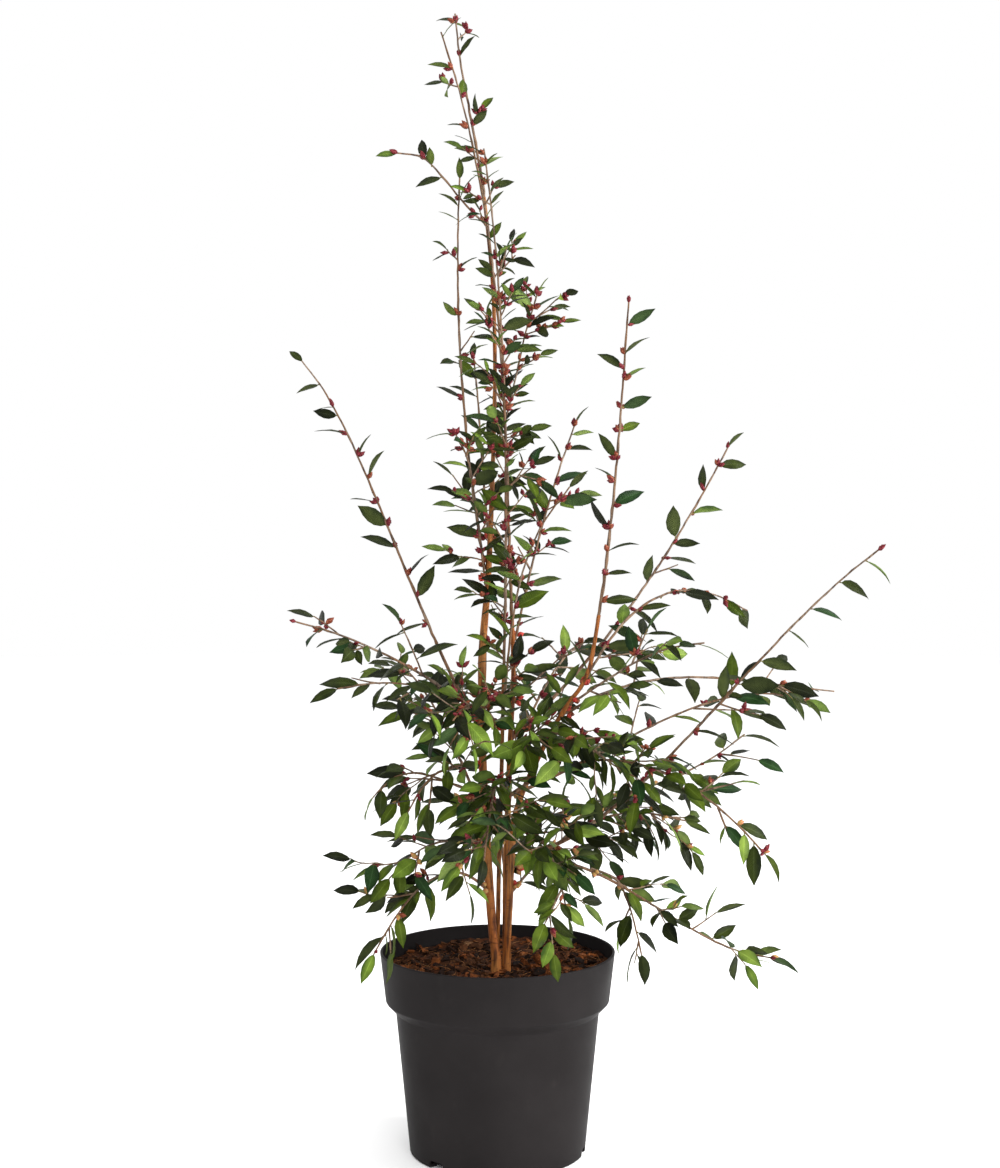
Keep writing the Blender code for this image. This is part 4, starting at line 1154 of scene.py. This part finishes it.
def turned_mesh(name, profile, turns):
    """A closed shape spun from a profile of radius and height that begins and ends on the axis."""
    shape = bmesh.new()
    corners = [shape.verts.new((radius, 0, height)) for radius, height in profile]
    edges = [shape.edges.new(pair) for pair in zip(corners, corners[1:])]
    bmesh.ops.spin(shape, geom=corners + edges, cent=(0, 0, 0), axis=(0, 0, 1), angle=math.tau,
                   steps=turns, use_merge=True)
    bmesh.ops.remove_doubles(shape, verts=shape.verts, dist=0.00001)
    bmesh.ops.recalc_face_normals(shape, faces=shape.faces)
    mesh = bpy.data.meshes.new(name)
    shape.to_mesh(mesh)
    shape.free()
    return mesh


def notch_mesh(angle):
    """A rounded block that cuts one drain notch into the edge of the pot's underside."""
    shape = bmesh.new()
    size = (NOTCH_DEPTH + 0.01, NOTCH_WIDTH, NOTCH_HEIGHT * 2)
    bmesh.ops.create_cube(shape, matrix=Matrix.Diagonal((*size, 1)))
    upper = [edge for edge in shape.edges
             if min(vertex.co.z for vertex in edge.verts) > 0
             and abs(edge.verts[0].co.y - edge.verts[1].co.y) < 0.001]
    bmesh.ops.bevel(shape, geom=upper, offset=0.004, segments=4, affect="EDGES", profile=0.5, material=-1)
    away = FOOT_RADIUS - NOTCH_DEPTH + size[0] / 2
    place = Matrix.Rotation(angle, 4, "Z") @ Matrix.Translation((away, 0, 0))
    bmesh.ops.transform(shape, matrix=place, verts=shape.verts)
    mesh = bpy.data.meshes.new("notch")
    shape.to_mesh(mesh)
    shape.free()
    return mesh


def loose_object(name, mesh):
    item = bpy.data.objects.new(name, mesh)
    bpy.context.scene.collection.objects.link(item)
    return item


def pot_mesh():
    """The turned pot with its drain notches cut."""
    profile = outside_profile() + inside_profile()
    blank = loose_object("pot_blank", turned_mesh("pot_blank", profile, POT_TURNS))
    cutters = []
    for index in range(NOTCH_COUNT):
        angle = NOTCH_TURN + math.tau * index / NOTCH_COUNT - math.pi / 2
        cutters.append(loose_object("notch", notch_mesh(angle)))
        cut = blank.modifiers.new("Drain", "BOOLEAN")
        cut.operation = "DIFFERENCE"
        cut.object = cutters[-1]
    graph = bpy.context.evaluated_depsgraph_get()
    mesh = bpy.data.meshes.new_from_object(blank.evaluated_get(graph))
    for item in [blank, *cutters]:
        bpy.data.objects.remove(item, do_unlink=True)
    mesh.name = "pot_shell"
    mesh.shade_smooth()
    mesh.set_sharp_from_angle(angle=math.radians(32))
    return mesh


# Soil
SOIL_RINGS = 46
SOIL_TURNS = 120
SOIL_DIP = 0.0005
LEAST_ROUGH = 0.25
ROUGH_GROWS_OVER = 0.03

# Lumps of three sizes: a seed, how fine they are and how high
SOIL_LUMPS = ((0.2, 42, 0.0036), (0.7, 120, 0.0024), (1.1, 330, 0.0011))

# Bark chips, larger chunks and fibres on the soil
CHIP_COUNT = 900
CHUNK_COUNT = 80
CHUNK_REACH = 0.92
CHIP_LENGTH = (0.003, 0.0085)
CHUNK_LENGTH = (0.010, 0.017)
CHIP_LEAN = 0.45
CHIP_WEAR = 0.16
CHIP_SHAPES = 9
CHIP_SHARES = (5, 5, 5, 0.25)
FIBRE_COUNT = 420
FIBRE_LENGTH = (0.004, 0.013)
FIBRE_RADII = (0.0004, 0.0002)
FIBRE_STEPS = 5
FIBRE_SIDES = 4


def soil_top(x, y):
    """The soil's height at a place: clumps of a few sizes on a slight slope, level near the stems."""
    from_axis = math.hypot(x, y)
    rough = min(1, max(LEAST_ROUGH, (from_axis - SOIL_LEVEL_RADIUS / 2) / ROUGH_GROWS_OVER))
    lumps = sum(noise.noise(Vector((x, y, seed)) * fine) * height for seed, fine, height in SOIL_LUMPS)
    slope = SOIL_SLOPE * (x + y) / RIM_RADIUS * min(1, from_axis / SOIL_LEVEL_RADIUS)
    return SOIL_HEIGHT - SOIL_DIP + lumps * rough + slope


def soil_mesh():
    """The soil's uneven top, with its sides going down inside the pot."""
    edge = soil_radius(SOIL_HEIGHT - SOIL_EDGE_DROP)
    profile = [(edge * ring / SOIL_RINGS, SOIL_HEIGHT) for ring in range(SOIL_RINGS + 1)]
    profile += [(soil_radius(LIP_HEIGHT), LIP_HEIGHT), (0, LIP_HEIGHT)]
    mesh = turned_mesh("soil_body", profile, SOIL_TURNS)
    for vertex in mesh.vertices:
        if vertex.co.z > SOIL_HEIGHT - CLEARANCE:
            vertex.co.z = soil_top(vertex.co.x, vertex.co.y)
    mesh.shade_smooth()
    return mesh


def soil_radius(height):
    """The radius of the soil at a height, just clear of the pot's inside wall."""
    rim_inside = RIM_RADIUS - POT_WALL
    lip_inside = LIP_RADIUS - POT_WALL
    share = (height - LIP_HEIGHT) / (POT_HEIGHT - LIP_HEIGHT)
    return lip_inside + (rim_inside - lip_inside) * max(0, share) - CLEARANCE * 2


def chip_shapes(rng, count):
    """A few broken bits of bark: knocked-about blocks with their edges bevelled."""
    shapes = []
    for _ in range(count):
        shape = bmesh.new()
        bmesh.ops.create_cube(shape, size=1)
        bmesh.ops.bevel(shape, geom=shape.edges, offset=CHIP_WEAR, segments=1, affect="EDGES", profile=0.5,
                        material=-1)
        for vertex in shape.verts:
            vertex.co += Vector([rng.uniform(-CHIP_WEAR, CHIP_WEAR) for _ in range(3)])
        shapes.append(read_shape(shape))
    return shapes


def on_soil(rng):
    """A random place on the soil, clear of the pot's wall."""
    reach = (soil_radius(SOIL_HEIGHT) - 0.003) * math.sqrt(rng.random())
    turn = rng.uniform(0, math.tau)
    return reach * math.cos(turn), reach * math.sin(turn)


def scatter_chips():
    """Bark chips in four browns, and some larger chunks, lying on the soil."""
    rng = random.Random("bark chips")
    shapes = chip_shapes(rng, CHIP_SHAPES)
    groups = [JoinedShapes() for _ in CHIP_SHARES]
    for index in range(CHIP_COUNT + CHUNK_COUNT):
        x, y = on_soil(rng)
        points, faces = rng.choice(shapes)
        long = rng.uniform(*CHIP_LENGTH) * rng.choice((0.7, 1, 1, 1.5))
        if index >= CHIP_COUNT:
            long = rng.uniform(*CHUNK_LENGTH)
            x *= CHUNK_REACH
            y *= CHUNK_REACH
        size = np.array((long, long * rng.uniform(0.3, 0.65), long * rng.uniform(0.14, 0.4)))
        lean = Matrix.Rotation(rng.gauss(0, CHIP_LEAN), 3, "X")
        lean = lean @ Matrix.Rotation(rng.gauss(0, CHIP_LEAN), 3, "Y")
        turn = np.array(lean @ Matrix.Rotation(rng.uniform(0, math.tau), 3, "Z"))
        centre = np.array((x, y, soil_top(x, y) + size[2] * rng.uniform(0, 0.5)))
        group = rng.choices(groups, weights=CHIP_SHARES)[0]
        group.add((points * size) @ turn.T + centre, faces)
    return groups


def scatter_fibres():
    """Short curved fibres, lying on the soil and sticking up a little."""
    rng = random.Random("fibres")
    fibres = JoinedShapes()
    for _ in range(FIBRE_COUNT):
        x, y = on_soil(rng)
        start = Vector((x, y, soil_top(x, y) + 0.0006))
        turn = rng.uniform(0, math.tau)
        reach = rng.uniform(*FIBRE_LENGTH)
        away = Vector((math.cos(turn), math.sin(turn), rng.uniform(-0.1, 0.45))) * reach
        bend = Vector((-math.sin(turn), math.cos(turn), rng.uniform(0, 0.6)))
        bend = bend * (reach * rng.uniform(-0.35, 0.35))
        end = start + away
        if math.hypot(end.x, end.y) > soil_radius(SOIL_HEIGHT) - 0.002:
            continue
        way = arched_way(start, start + away * 0.3 + bend, end - away * 0.3 + bend, end, FIBRE_STEPS)
        radii = tapered(*FIBRE_RADII, len(way))
        fibres.add(tube_points(way, radii, FIBRE_SIDES), tube_faces(len(way), FIBRE_SIDES))
    return fibres


class Amount:
    """A number that varies over a surface: arithmetic on it adds Math nodes."""

    def __init__(self, recipe, socket):
        self.recipe = recipe
        self.socket = socket

    def worked(self, operation, *values):
        node = self.recipe.node("ShaderNodeMath", {"operation": operation}, dict(enumerate(values)))
        return Amount(self.recipe, node.outputs[0])

    def __add__(self, other):
        return self.worked("ADD", self, other)

    def __sub__(self, other):
        return self.worked("SUBTRACT", self, other)

    def __rsub__(self, other):
        return self.worked("SUBTRACT", other, self)

    def __mul__(self, other):
        return self.worked("MULTIPLY", self, other)

    def __pow__(self, other):
        return self.worked("POWER", self, other)

    __radd__ = __add__
    __rmul__ = __mul__

    def size(self):
        return self.worked("ABSOLUTE", self)

    def sine(self):
        return self.worked("SINE", self)

    def between(self, low, high):
        """0 below low, 1 above high and a straight line between."""
        settings = {"interpolation_type": "LINEAR"}
        values = {"Value": self, "From Min": low, "From Max": high}
        node = self.recipe.node("ShaderNodeMapRange", settings, values)
        return Amount(self.recipe, node.outputs["Result"])


class Recipe:
    """One material and its nodes."""

    def __init__(self, name, colour, roughness):
        self.material = bpy.data.materials.new(name)
        self.material.use_nodes = True
        self.tree = self.material.node_tree
        self.shader = self.tree.nodes["Principled BSDF"]
        self.fill(self.shader.inputs["Base Color"], (*colour, 1))
        self.fill(self.shader.inputs["Roughness"], roughness)

    def node(self, kind, settings, values):
        """Adds a node: its settings first, then the values or links of its sockets."""
        node = self.tree.nodes.new(kind)
        for name, setting in settings.items():
            setattr(node, name, setting)
        for name, value in values.items():
            self.fill(node.inputs[name], value)
        return node

    def fill(self, socket, value):
        if isinstance(value, Amount):
            value = value.socket
        if isinstance(value, bpy.types.NodeSocket):
            self.tree.links.new(value, socket)
        else:
            socket.default_value = value

    def place(self, stretch=(1, 1, 1)):
        """The place on the object, stretched along each axis."""
        coordinates = self.node("ShaderNodeTexCoord", {}, {}).outputs["Object"]
        mapping = self.node("ShaderNodeMapping", {}, {"Vector": coordinates, "Scale": stretch})
        return mapping.outputs["Vector"]

    def noise(self, scale, detail=3, stretch=(1, 1, 1)):
        values = {"Vector": self.place(stretch), "Scale": scale, "Detail": detail}
        return Amount(self, self.node("ShaderNodeTexNoise", {}, values).outputs[0])

    def blended(self, share, first, second):
        """A colour between two, by a share that varies."""
        first = (*first, 1) if isinstance(first, tuple) else first
        second = (*second, 1) if isinstance(second, tuple) else second
        node = self.node("ShaderNodeMix", {"data_type": "RGBA"}, {0: share, 6: first, 7: second})
        return node.outputs[2]

    def paint(self, colour):
        self.fill(self.shader.inputs["Base Color"], colour)

    def gloss(self, roughness):
        self.fill(self.shader.inputs["Roughness"], roughness)

    def relief(self, height, distance, strength=1.0):
        values = {"Height": height, "Distance": distance, "Strength": strength}
        bump = self.node("ShaderNodeBump", {}, values)
        self.fill(self.shader.inputs["Normal"], bump.outputs["Normal"])

    def set(self, **values):
        for name, value in values.items():
            self.shader.inputs[name.replace("_", " ")].default_value = value


# How a leaf's lightest and darkest parts differ from its own green: the light end is a paler tone and a
# painted highlight, the dark end a deeper tone and painted shade
PALE_AND_HIGHLIGHT_TINT = (1.60, 1.58, 1.50)
DEEP_AND_SHADE_TINT = (0.34, 0.42, 0.50)


def leaf_finish(name, colour, roughness, vein):
    """A leaf's surface: one green in random paler and deeper patches, lighter and yellower towards the
    midrib and the foot and darker towards the margin and the tip as painted light and shade, a painted
    highlight on one half of most leaves and painted shade on the other, with side veins as a fine relief and
    gloss that varies."""
    recipe = Recipe(name, colour, roughness)
    surface = recipe.node("ShaderNodeUVMap", {"uv_map": "surface"}, {}).outputs["UV"]
    parts = recipe.node("ShaderNodeSeparateXYZ", {}, {"Vector": surface})
    across = Amount(recipe, parts.outputs["X"])
    along = Amount(recipe, parts.outputs["Y"])
    from_rib = (across * 2 - 1).size()
    # Random paler and deeper patches: partly the leaf's own tone, partly painted light and shade
    mottled = recipe.noise(80, 3).between(0.32, 0.68) * 0.55
    # Painted highlight on one half of the leaf and painted shade on the other, as if light fell on one side
    # of its fold
    painted_lit_half = (across - 0.5) * (recipe.noise(24, 1) - 0.5) * 4.5
    # Painted light and shade: lighter towards the midrib and the foot, darker towards the margin and the tip
    inner = (1 - from_rib) * 0.35 + (1 - along) * 0.15
    # The light end carries the painted highlight, the dark end the painted shade
    light = tuple(part * share for part, share in zip(colour, PALE_AND_HIGHLIGHT_TINT))
    dark = tuple(part * share for part, share in zip(colour, DEEP_AND_SHADE_TINT))
    recipe.paint(recipe.blended((mottled + painted_lit_half + inner).between(0, 1), dark, light))
    veins = ((along - from_rib * 0.22) * (math.tau * 8)).sine() ** 2
    recipe.relief(veins, vein)
    recipe.gloss(recipe.noise(90) * 0.14 + (roughness - 0.07))
    recipe.set(Specular_IOR_Level=0.07)
    return recipe.material


def bark_finish(name, warm, grey, dark, grain):
    """Smooth bark: a warm brown under a thin grey skin, with darker streaks and fine cross scars."""
    recipe = Recipe(name, warm, 0.6)
    skin = recipe.noise(34, 5, (1, 1, 0.35)).between(0.42, 0.66)
    streaks = recipe.noise(300, 4, (1, 1, 0.10)).between(0.48, 0.62)
    stains = recipe.noise(30, 3, (1, 1, 0.4)).between(0.50, 0.66)
    scars = recipe.noise(420, 2, (0.35, 0.35, 1.6)).between(0.60, 0.72)
    colour = recipe.blended(skin, warm, grey)
    colour = recipe.blended(stains * 0.55, colour, dark)
    colour = recipe.blended(streaks * 0.8, colour, dark)
    recipe.paint(recipe.blended(scars * 0.55, colour, dark))
    recipe.gloss(recipe.noise(120) * 0.25 + 0.42)
    recipe.relief(recipe.noise(260, 5, (1, 1, 0.25)) + scars * 0.5, grain)
    recipe.set(Specular_IOR_Level=0.15)
    return recipe.material


def plastic_finish():
    """Matte charcoal plastic with a fine moulded grain, faint wipe marks and a little dust."""
    recipe = Recipe("charcoal_plastic", (0.0145, 0.0128, 0.0129), 0.5)
    cloudy = recipe.noise(14, 4).between(0.35, 0.75)
    colour = recipe.blended(cloudy, (0.0128, 0.0112, 0.0113), (0.0170, 0.0150, 0.0151))
    dust = recipe.noise(55, 6, (1, 1, 0.5)).between(0.62, 0.85)
    recipe.paint(recipe.blended(dust * 0.3, colour, (0.034, 0.030, 0.028)))
    recipe.gloss(recipe.noise(40, 4) * 0.18 + 0.42)
    recipe.set(Specular_IOR_Level=0.03)
    recipe.relief(recipe.noise(1500, 2), 0.00006)
    return recipe.material


def soil_finish(name, dark, light):
    """Damp fibre and bark dust, in patches from near black to red brown."""
    recipe = Recipe(name, dark, 0.95)
    patches = recipe.noise(95, 6).between(0.38, 0.66)
    specks = recipe.noise(520, 3).between(0.55, 0.7)
    colour = recipe.blended(patches, dark, light)
    recipe.paint(recipe.blended(specks * 0.6, colour, tuple(min(1, part * 2.2) for part in light)))
    recipe.relief(recipe.noise(700, 5), 0.0006)
    recipe.set(Specular_IOR_Level=0.1)
    return recipe.material


def bud_finish(name, colour, tip):
    """A bud's scales: one hue with a paler bloom."""
    recipe = Recipe(name, colour, 0.5)
    recipe.paint(recipe.blended(recipe.noise(600, 2).between(0.45, 0.7), colour, tip))
    recipe.relief(recipe.noise(900, 3), 0.0002)
    recipe.set(Specular_IOR_Level=0.12)
    return recipe.material


def dress(name, mesh, nodes, finishes):
    """Makes a finished piece: it moves with the plant, and stands for its nodes."""
    piece = bpy.data.objects.new(name, mesh)
    bpy.context.scene.collection.objects.link(piece)
    for finish in finishes:
        mesh.materials.append(finish)
    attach(piece, "root")
    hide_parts(*nodes)
    return piece


# Bark colours: the warm brown, the grey skin over it, and the dark streaks
CINNAMON_BARK = ((0.215, 0.062, 0.011), (0.380, 0.165, 0.045), (0.030, 0.008, 0.0035))
YOUNG_BARK = ((0.145, 0.066, 0.031), (0.225, 0.145, 0.092), (0.036, 0.018, 0.010))
TWIG_BARK = ((0.135, 0.072, 0.036), (0.225, 0.160, 0.112), (0.036, 0.021, 0.014))

# Soil colours: the dark and the light brown of the soil, of the fibres and of each kind of bark chip
SOIL_BROWNS = ((0.010, 0.0035, 0.0015), (0.060, 0.019, 0.007))
FIBRE_BROWNS = ((0.090, 0.034, 0.011), (0.200, 0.090, 0.036))
CHIP_BROWNS = (
    ("red_brown", (0.040, 0.010, 0.0030), (0.150, 0.046, 0.012)),
    ("brown", (0.018, 0.0060, 0.0022), (0.062, 0.023, 0.0085)),
    ("dark_brown", (0.0045, 0.0018, 0.0010), (0.018, 0.0070, 0.0036)),
    ("pale_brown", (0.080, 0.036, 0.015), (0.190, 0.100, 0.048)),
)

# Leaf colours: name, upper side, under side, and how often each turns up in a usual spray. The first, near
# black, is partly painted shade. The last three are fresh, and turn up more or less often on the shoots
# named below: partly as fresher growth at the tops, partly as painted light, more on shoots inside and in
# front of the crown and fewer on its outer shoots.
GREENS = (
    ("deep", (0.0066, 0.0090, 0.0018), (0.023, 0.030, 0.009), 22),
    ("dark", (0.0160, 0.0235, 0.0024), (0.033, 0.043, 0.011), 28),
    ("cool", (0.0105, 0.0300, 0.0070), (0.028, 0.050, 0.016), 9),
    ("mid", (0.045, 0.068, 0.0050), (0.060, 0.084, 0.016), 25),
    ("fresh", (0.084, 0.132, 0.0150), (0.100, 0.150, 0.030), 12),
    ("young", (0.115, 0.168, 0.026), (0.140, 0.195, 0.050), 3),
)
FIRST_FRESH = 3
FRESH_AND_LIT_SHOOTS = {"left_hanging": 2, "rim_hanging": 0.8, "right_drooping": 1.8, "centre_right": 2,
                "front_bough": 2, "front_low": 1.6, "back_low": 1.4, "top_left": 2, "leader_top": 2.4,
                "second_top": 2.2, "thin_left": 1.5, "front_hanging": 2.4, "column_high": 1.2,
                "column_left": 1.2, "right_tall": 0.2, "right_top": 0.15, "right_long": 0.2,
                "left_tall": 0.1, "left_out": 0.1, "left_under": 0.2, "left_middle": 0.5,
                "centre_left": 0.8, "right_arching": 0.4, "right_level": 0.3, "right_middle": 0.6,
                "low_right": 0.6}


def foot_limb(full, boughs):
    """A shoot's first stretch: its bough, or its own stem when it has no bare bough."""
    return boughs.get("bough_" + full.shoot.name) or full.first_twigs[0].limb()


def make_foliage(sprays, boughs, nodes):
    """Leaves by colour, their stalks, the twigs and the buds, each kind joined into its own piece."""
    blade, faces, finishes = leaf_blade()
    surface = np.column_stack(((blade[:, 0] + 1) / 2, blade[:, 1]))
    greens = [JoinedShapes() for _ in GREENS]
    petioles = JoinedShapes()
    twigs = JoinedShapes()
    buds = {name: JoinedShapes() for name in BUD_COLOURS}
    for full in sprays:
        rng = random.Random(full.shoot.name + " looks")
        # This shoot's share of the light greens: fresher growth at the tops, and painted light that lightens
        # inner and front shoots and darkens outer ones
        fresh = FRESH_AND_LIT_SHOOTS.get(full.shoot.name, 1)
        weights = [green[3] * (fresh if index >= FIRST_FRESH else 1) for index, green in enumerate(GREENS)]
        for leaf, _ in full.leaves:
            shapes = rng.choices(greens, weights=weights)[0]
            shapes.add(placed_leaf(leaf, blade, rng), faces, finishes, surface)
            add_petiole(petioles, leaf, rng)
        stem = full.first_twigs[0]
        foot = stem.way[0] + (stem.way[0] - stem.way[1]).normalized() * 0.002
        add_twig(twigs, [foot, *stem.way], stem.root_radius, stem.tip_radius, rng)
        for twig in full.first_twigs[1:] + full.fine_twigs:
            add_twig(twigs, twig.way, twig.root_radius * TWIG_SLIM, twig.tip_radius * TWIG_SLIM, rng)
        grown = leaf_foot_buds(full, rng)
        if full.shoot.height:
            grown += shoot_foot_buds(foot_limb(full, boughs).way, rng)
        for bud in grown:
            add_bud(buds[bud.colour], bud, rng)
    for shapes, (name, upper, under, _) in zip(greens, GREENS):
        rib = tuple(part * 1.35 + 0.008 for part in upper)
        materials = [leaf_finish(f"{name}_leaf", upper, 0.34, 0.00025),
                     leaf_finish(f"{name}_midrib", rib, 0.45, 0.0001),
                     leaf_finish(f"{name}_leaf_underside", under, 0.6, 0.0004)]
        dress(f"{name}_leaves", shapes.mesh(f"{name}_leaves"), nodes, materials)
    twig_bark = bark_finish("twig_bark", *TWIG_BARK, 0.0003)
    stalk = leaf_finish("leaf_stalk", (0.110, 0.090, 0.030), 0.5, 0.0001)
    dress("twigs", twigs.mesh("twigs"), nodes, [twig_bark])
    dress("leaf_stalks", petioles.mesh("leaf_stalks"), nodes, [stalk])
    for name, shapes in buds.items():
        finish = bud_finish(f"{name}_bud", *BUD_COLOURS[name])
        dress(f"{name}_buds", shapes.mesh(f"{name}_buds"), nodes, [finish])


def make_limbs(stems, boughs, sprays):
    """The four stems and all the boughs, each a tube of bark that replaces its own node."""
    trunk_bark = bark_finish("cinnamon_bark", *CINNAMON_BARK, 0.0006)
    young = bark_finish("young_bark", *YOUNG_BARK, 0.0004)
    feet = {name: [] for name in stems}
    for full in sprays:
        if full.shoot.limb in feet and full.shoot.height:
            limb = foot_limb(full, boughs)
            feet[full.shoot.limb].append((limb.way[0], limb.radii[0]))
    for name, limb in stems.items():
        way = [limb.way[0] - UP * STEM_SUNK, *limb.way]
        radii = [limb.radii[0] * STEM_FOOT_FLARE, *limb.radii]
        mesh = bark_tube(name, way, radii, STEM_SIDES, feet[name])
        dress(name + "_bark", mesh, [name], [trunk_bark])
    for name, limb in boughs.items():
        way = [limb.way[0] - (limb.way[1] - limb.way[0]).normalized() * BOUGH_SUNK, *limb.way]
        radii = [limb.radii[0] * BOUGH_FOOT_FLARE, *limb.radii]
        mesh = bark_tube(name, way, radii, BOUGH_SIDES, [])
        dress(name + "_bark", mesh, [name], [young])


def make_pot_and_soil():
    dress("nursery_pot", pot_mesh(), ["pot"], [plastic_finish()])
    earth = soil_finish("potting_soil", *SOIL_BROWNS)
    dress("soil_surface", soil_mesh(), ["soil"], [earth])
    for (name, dark, light), shapes in zip(CHIP_BROWNS, scatter_chips()):
        dress(f"{name}_chips", shapes.mesh(f"{name}_chips", 30), ["soil"],
              [soil_finish(f"{name}_bark_chip", dark, light)])
    fibre = soil_finish("coir_fibre", *FIBRE_BROWNS)
    dress("soil_fibres", scatter_fibres().mesh("soil_fibres"), ["soil"], [fibre])


# Lamps: name, place, size and power. All of them point at the middle of the plant.
LAMPS = (
    ("key_light", (2.2, -0.5, 1.4), 1.0, 95),
    ("top_light", (-0.3, -0.4, 3.2), 3.0, 40),
    ("front_light", (0.5, -2.8, 1.1), 1.5, 38),
)
LAMP_TARGET = (0.0, 0.0, 0.5)
FLOOR_RADIUS = 6
FLOOR_DROP = 0.0002


def make_studio():
    """A pale floor, soft light from all round, and lamps from the right, from above and from the front."""
    shape = bmesh.new()
    bmesh.ops.create_circle(shape, cap_ends=True, segments=96, radius=FLOOR_RADIUS)
    mesh = bpy.data.meshes.new("floor")
    shape.to_mesh(mesh)
    shape.free()
    floor = loose_object("floor", mesh)
    floor.location.z = -FLOOR_DROP
    mesh.materials.append(Recipe("pale_floor", (0.98, 0.98, 0.98), 0.9).material)
    world = bpy.data.worlds.new("studio")
    world.use_nodes = True
    world.node_tree.nodes["Background"].inputs["Color"].default_value = (1, 1, 1, 1)
    world.node_tree.nodes["Background"].inputs["Strength"].default_value = 1.0
    bpy.context.scene.world = world
    for name, place, size, power in LAMPS:
        add_lamp(name, place, size, power)
    bpy.context.scene.view_settings.view_transform = "Standard"


def add_lamp(name, place, size, power):
    lamp = bpy.data.objects.new(name, bpy.data.lights.new(name, "AREA"))
    bpy.context.scene.collection.objects.link(lamp)
    lamp.data.size = size
    lamp.data.energy = power
    lamp.location = place
    lamp.rotation_euler = (Vector(LAMP_TARGET) - Vector(place)).to_track_quat("-Z", "Y").to_euler()


# The photograph's view: from straight ahead, a little above the middle of the plant, looking slightly down
CAMERA_PLACE = (0.0024, -1.94, 0.650)
CAMERA_DOWN = 2.75
CAMERA_LENS = 61.6


def make_camera():
    camera = bpy.data.objects.new("camera", bpy.data.cameras.new("camera"))
    bpy.context.scene.collection.objects.link(camera)
    camera.location = CAMERA_PLACE
    camera.rotation_euler = (math.radians(90 - CAMERA_DOWN), 0, 0)
    camera.data.lens = CAMERA_LENS
    bpy.context.scene.camera = camera


def make_plant():
    stems, boughs, sprays, air = grow_plant()
    sprays = [FullSpray(spray) for spray in sprays]
    for full in sprays:
        full.grow(air)
    foliage_nodes = [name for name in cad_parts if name.startswith("foliage_")]
    make_foliage(sprays, boughs, foliage_nodes)
    make_limbs(stems, boughs, sprays)


make_camera()
make_studio()
make_plant()
make_pot_and_soil()
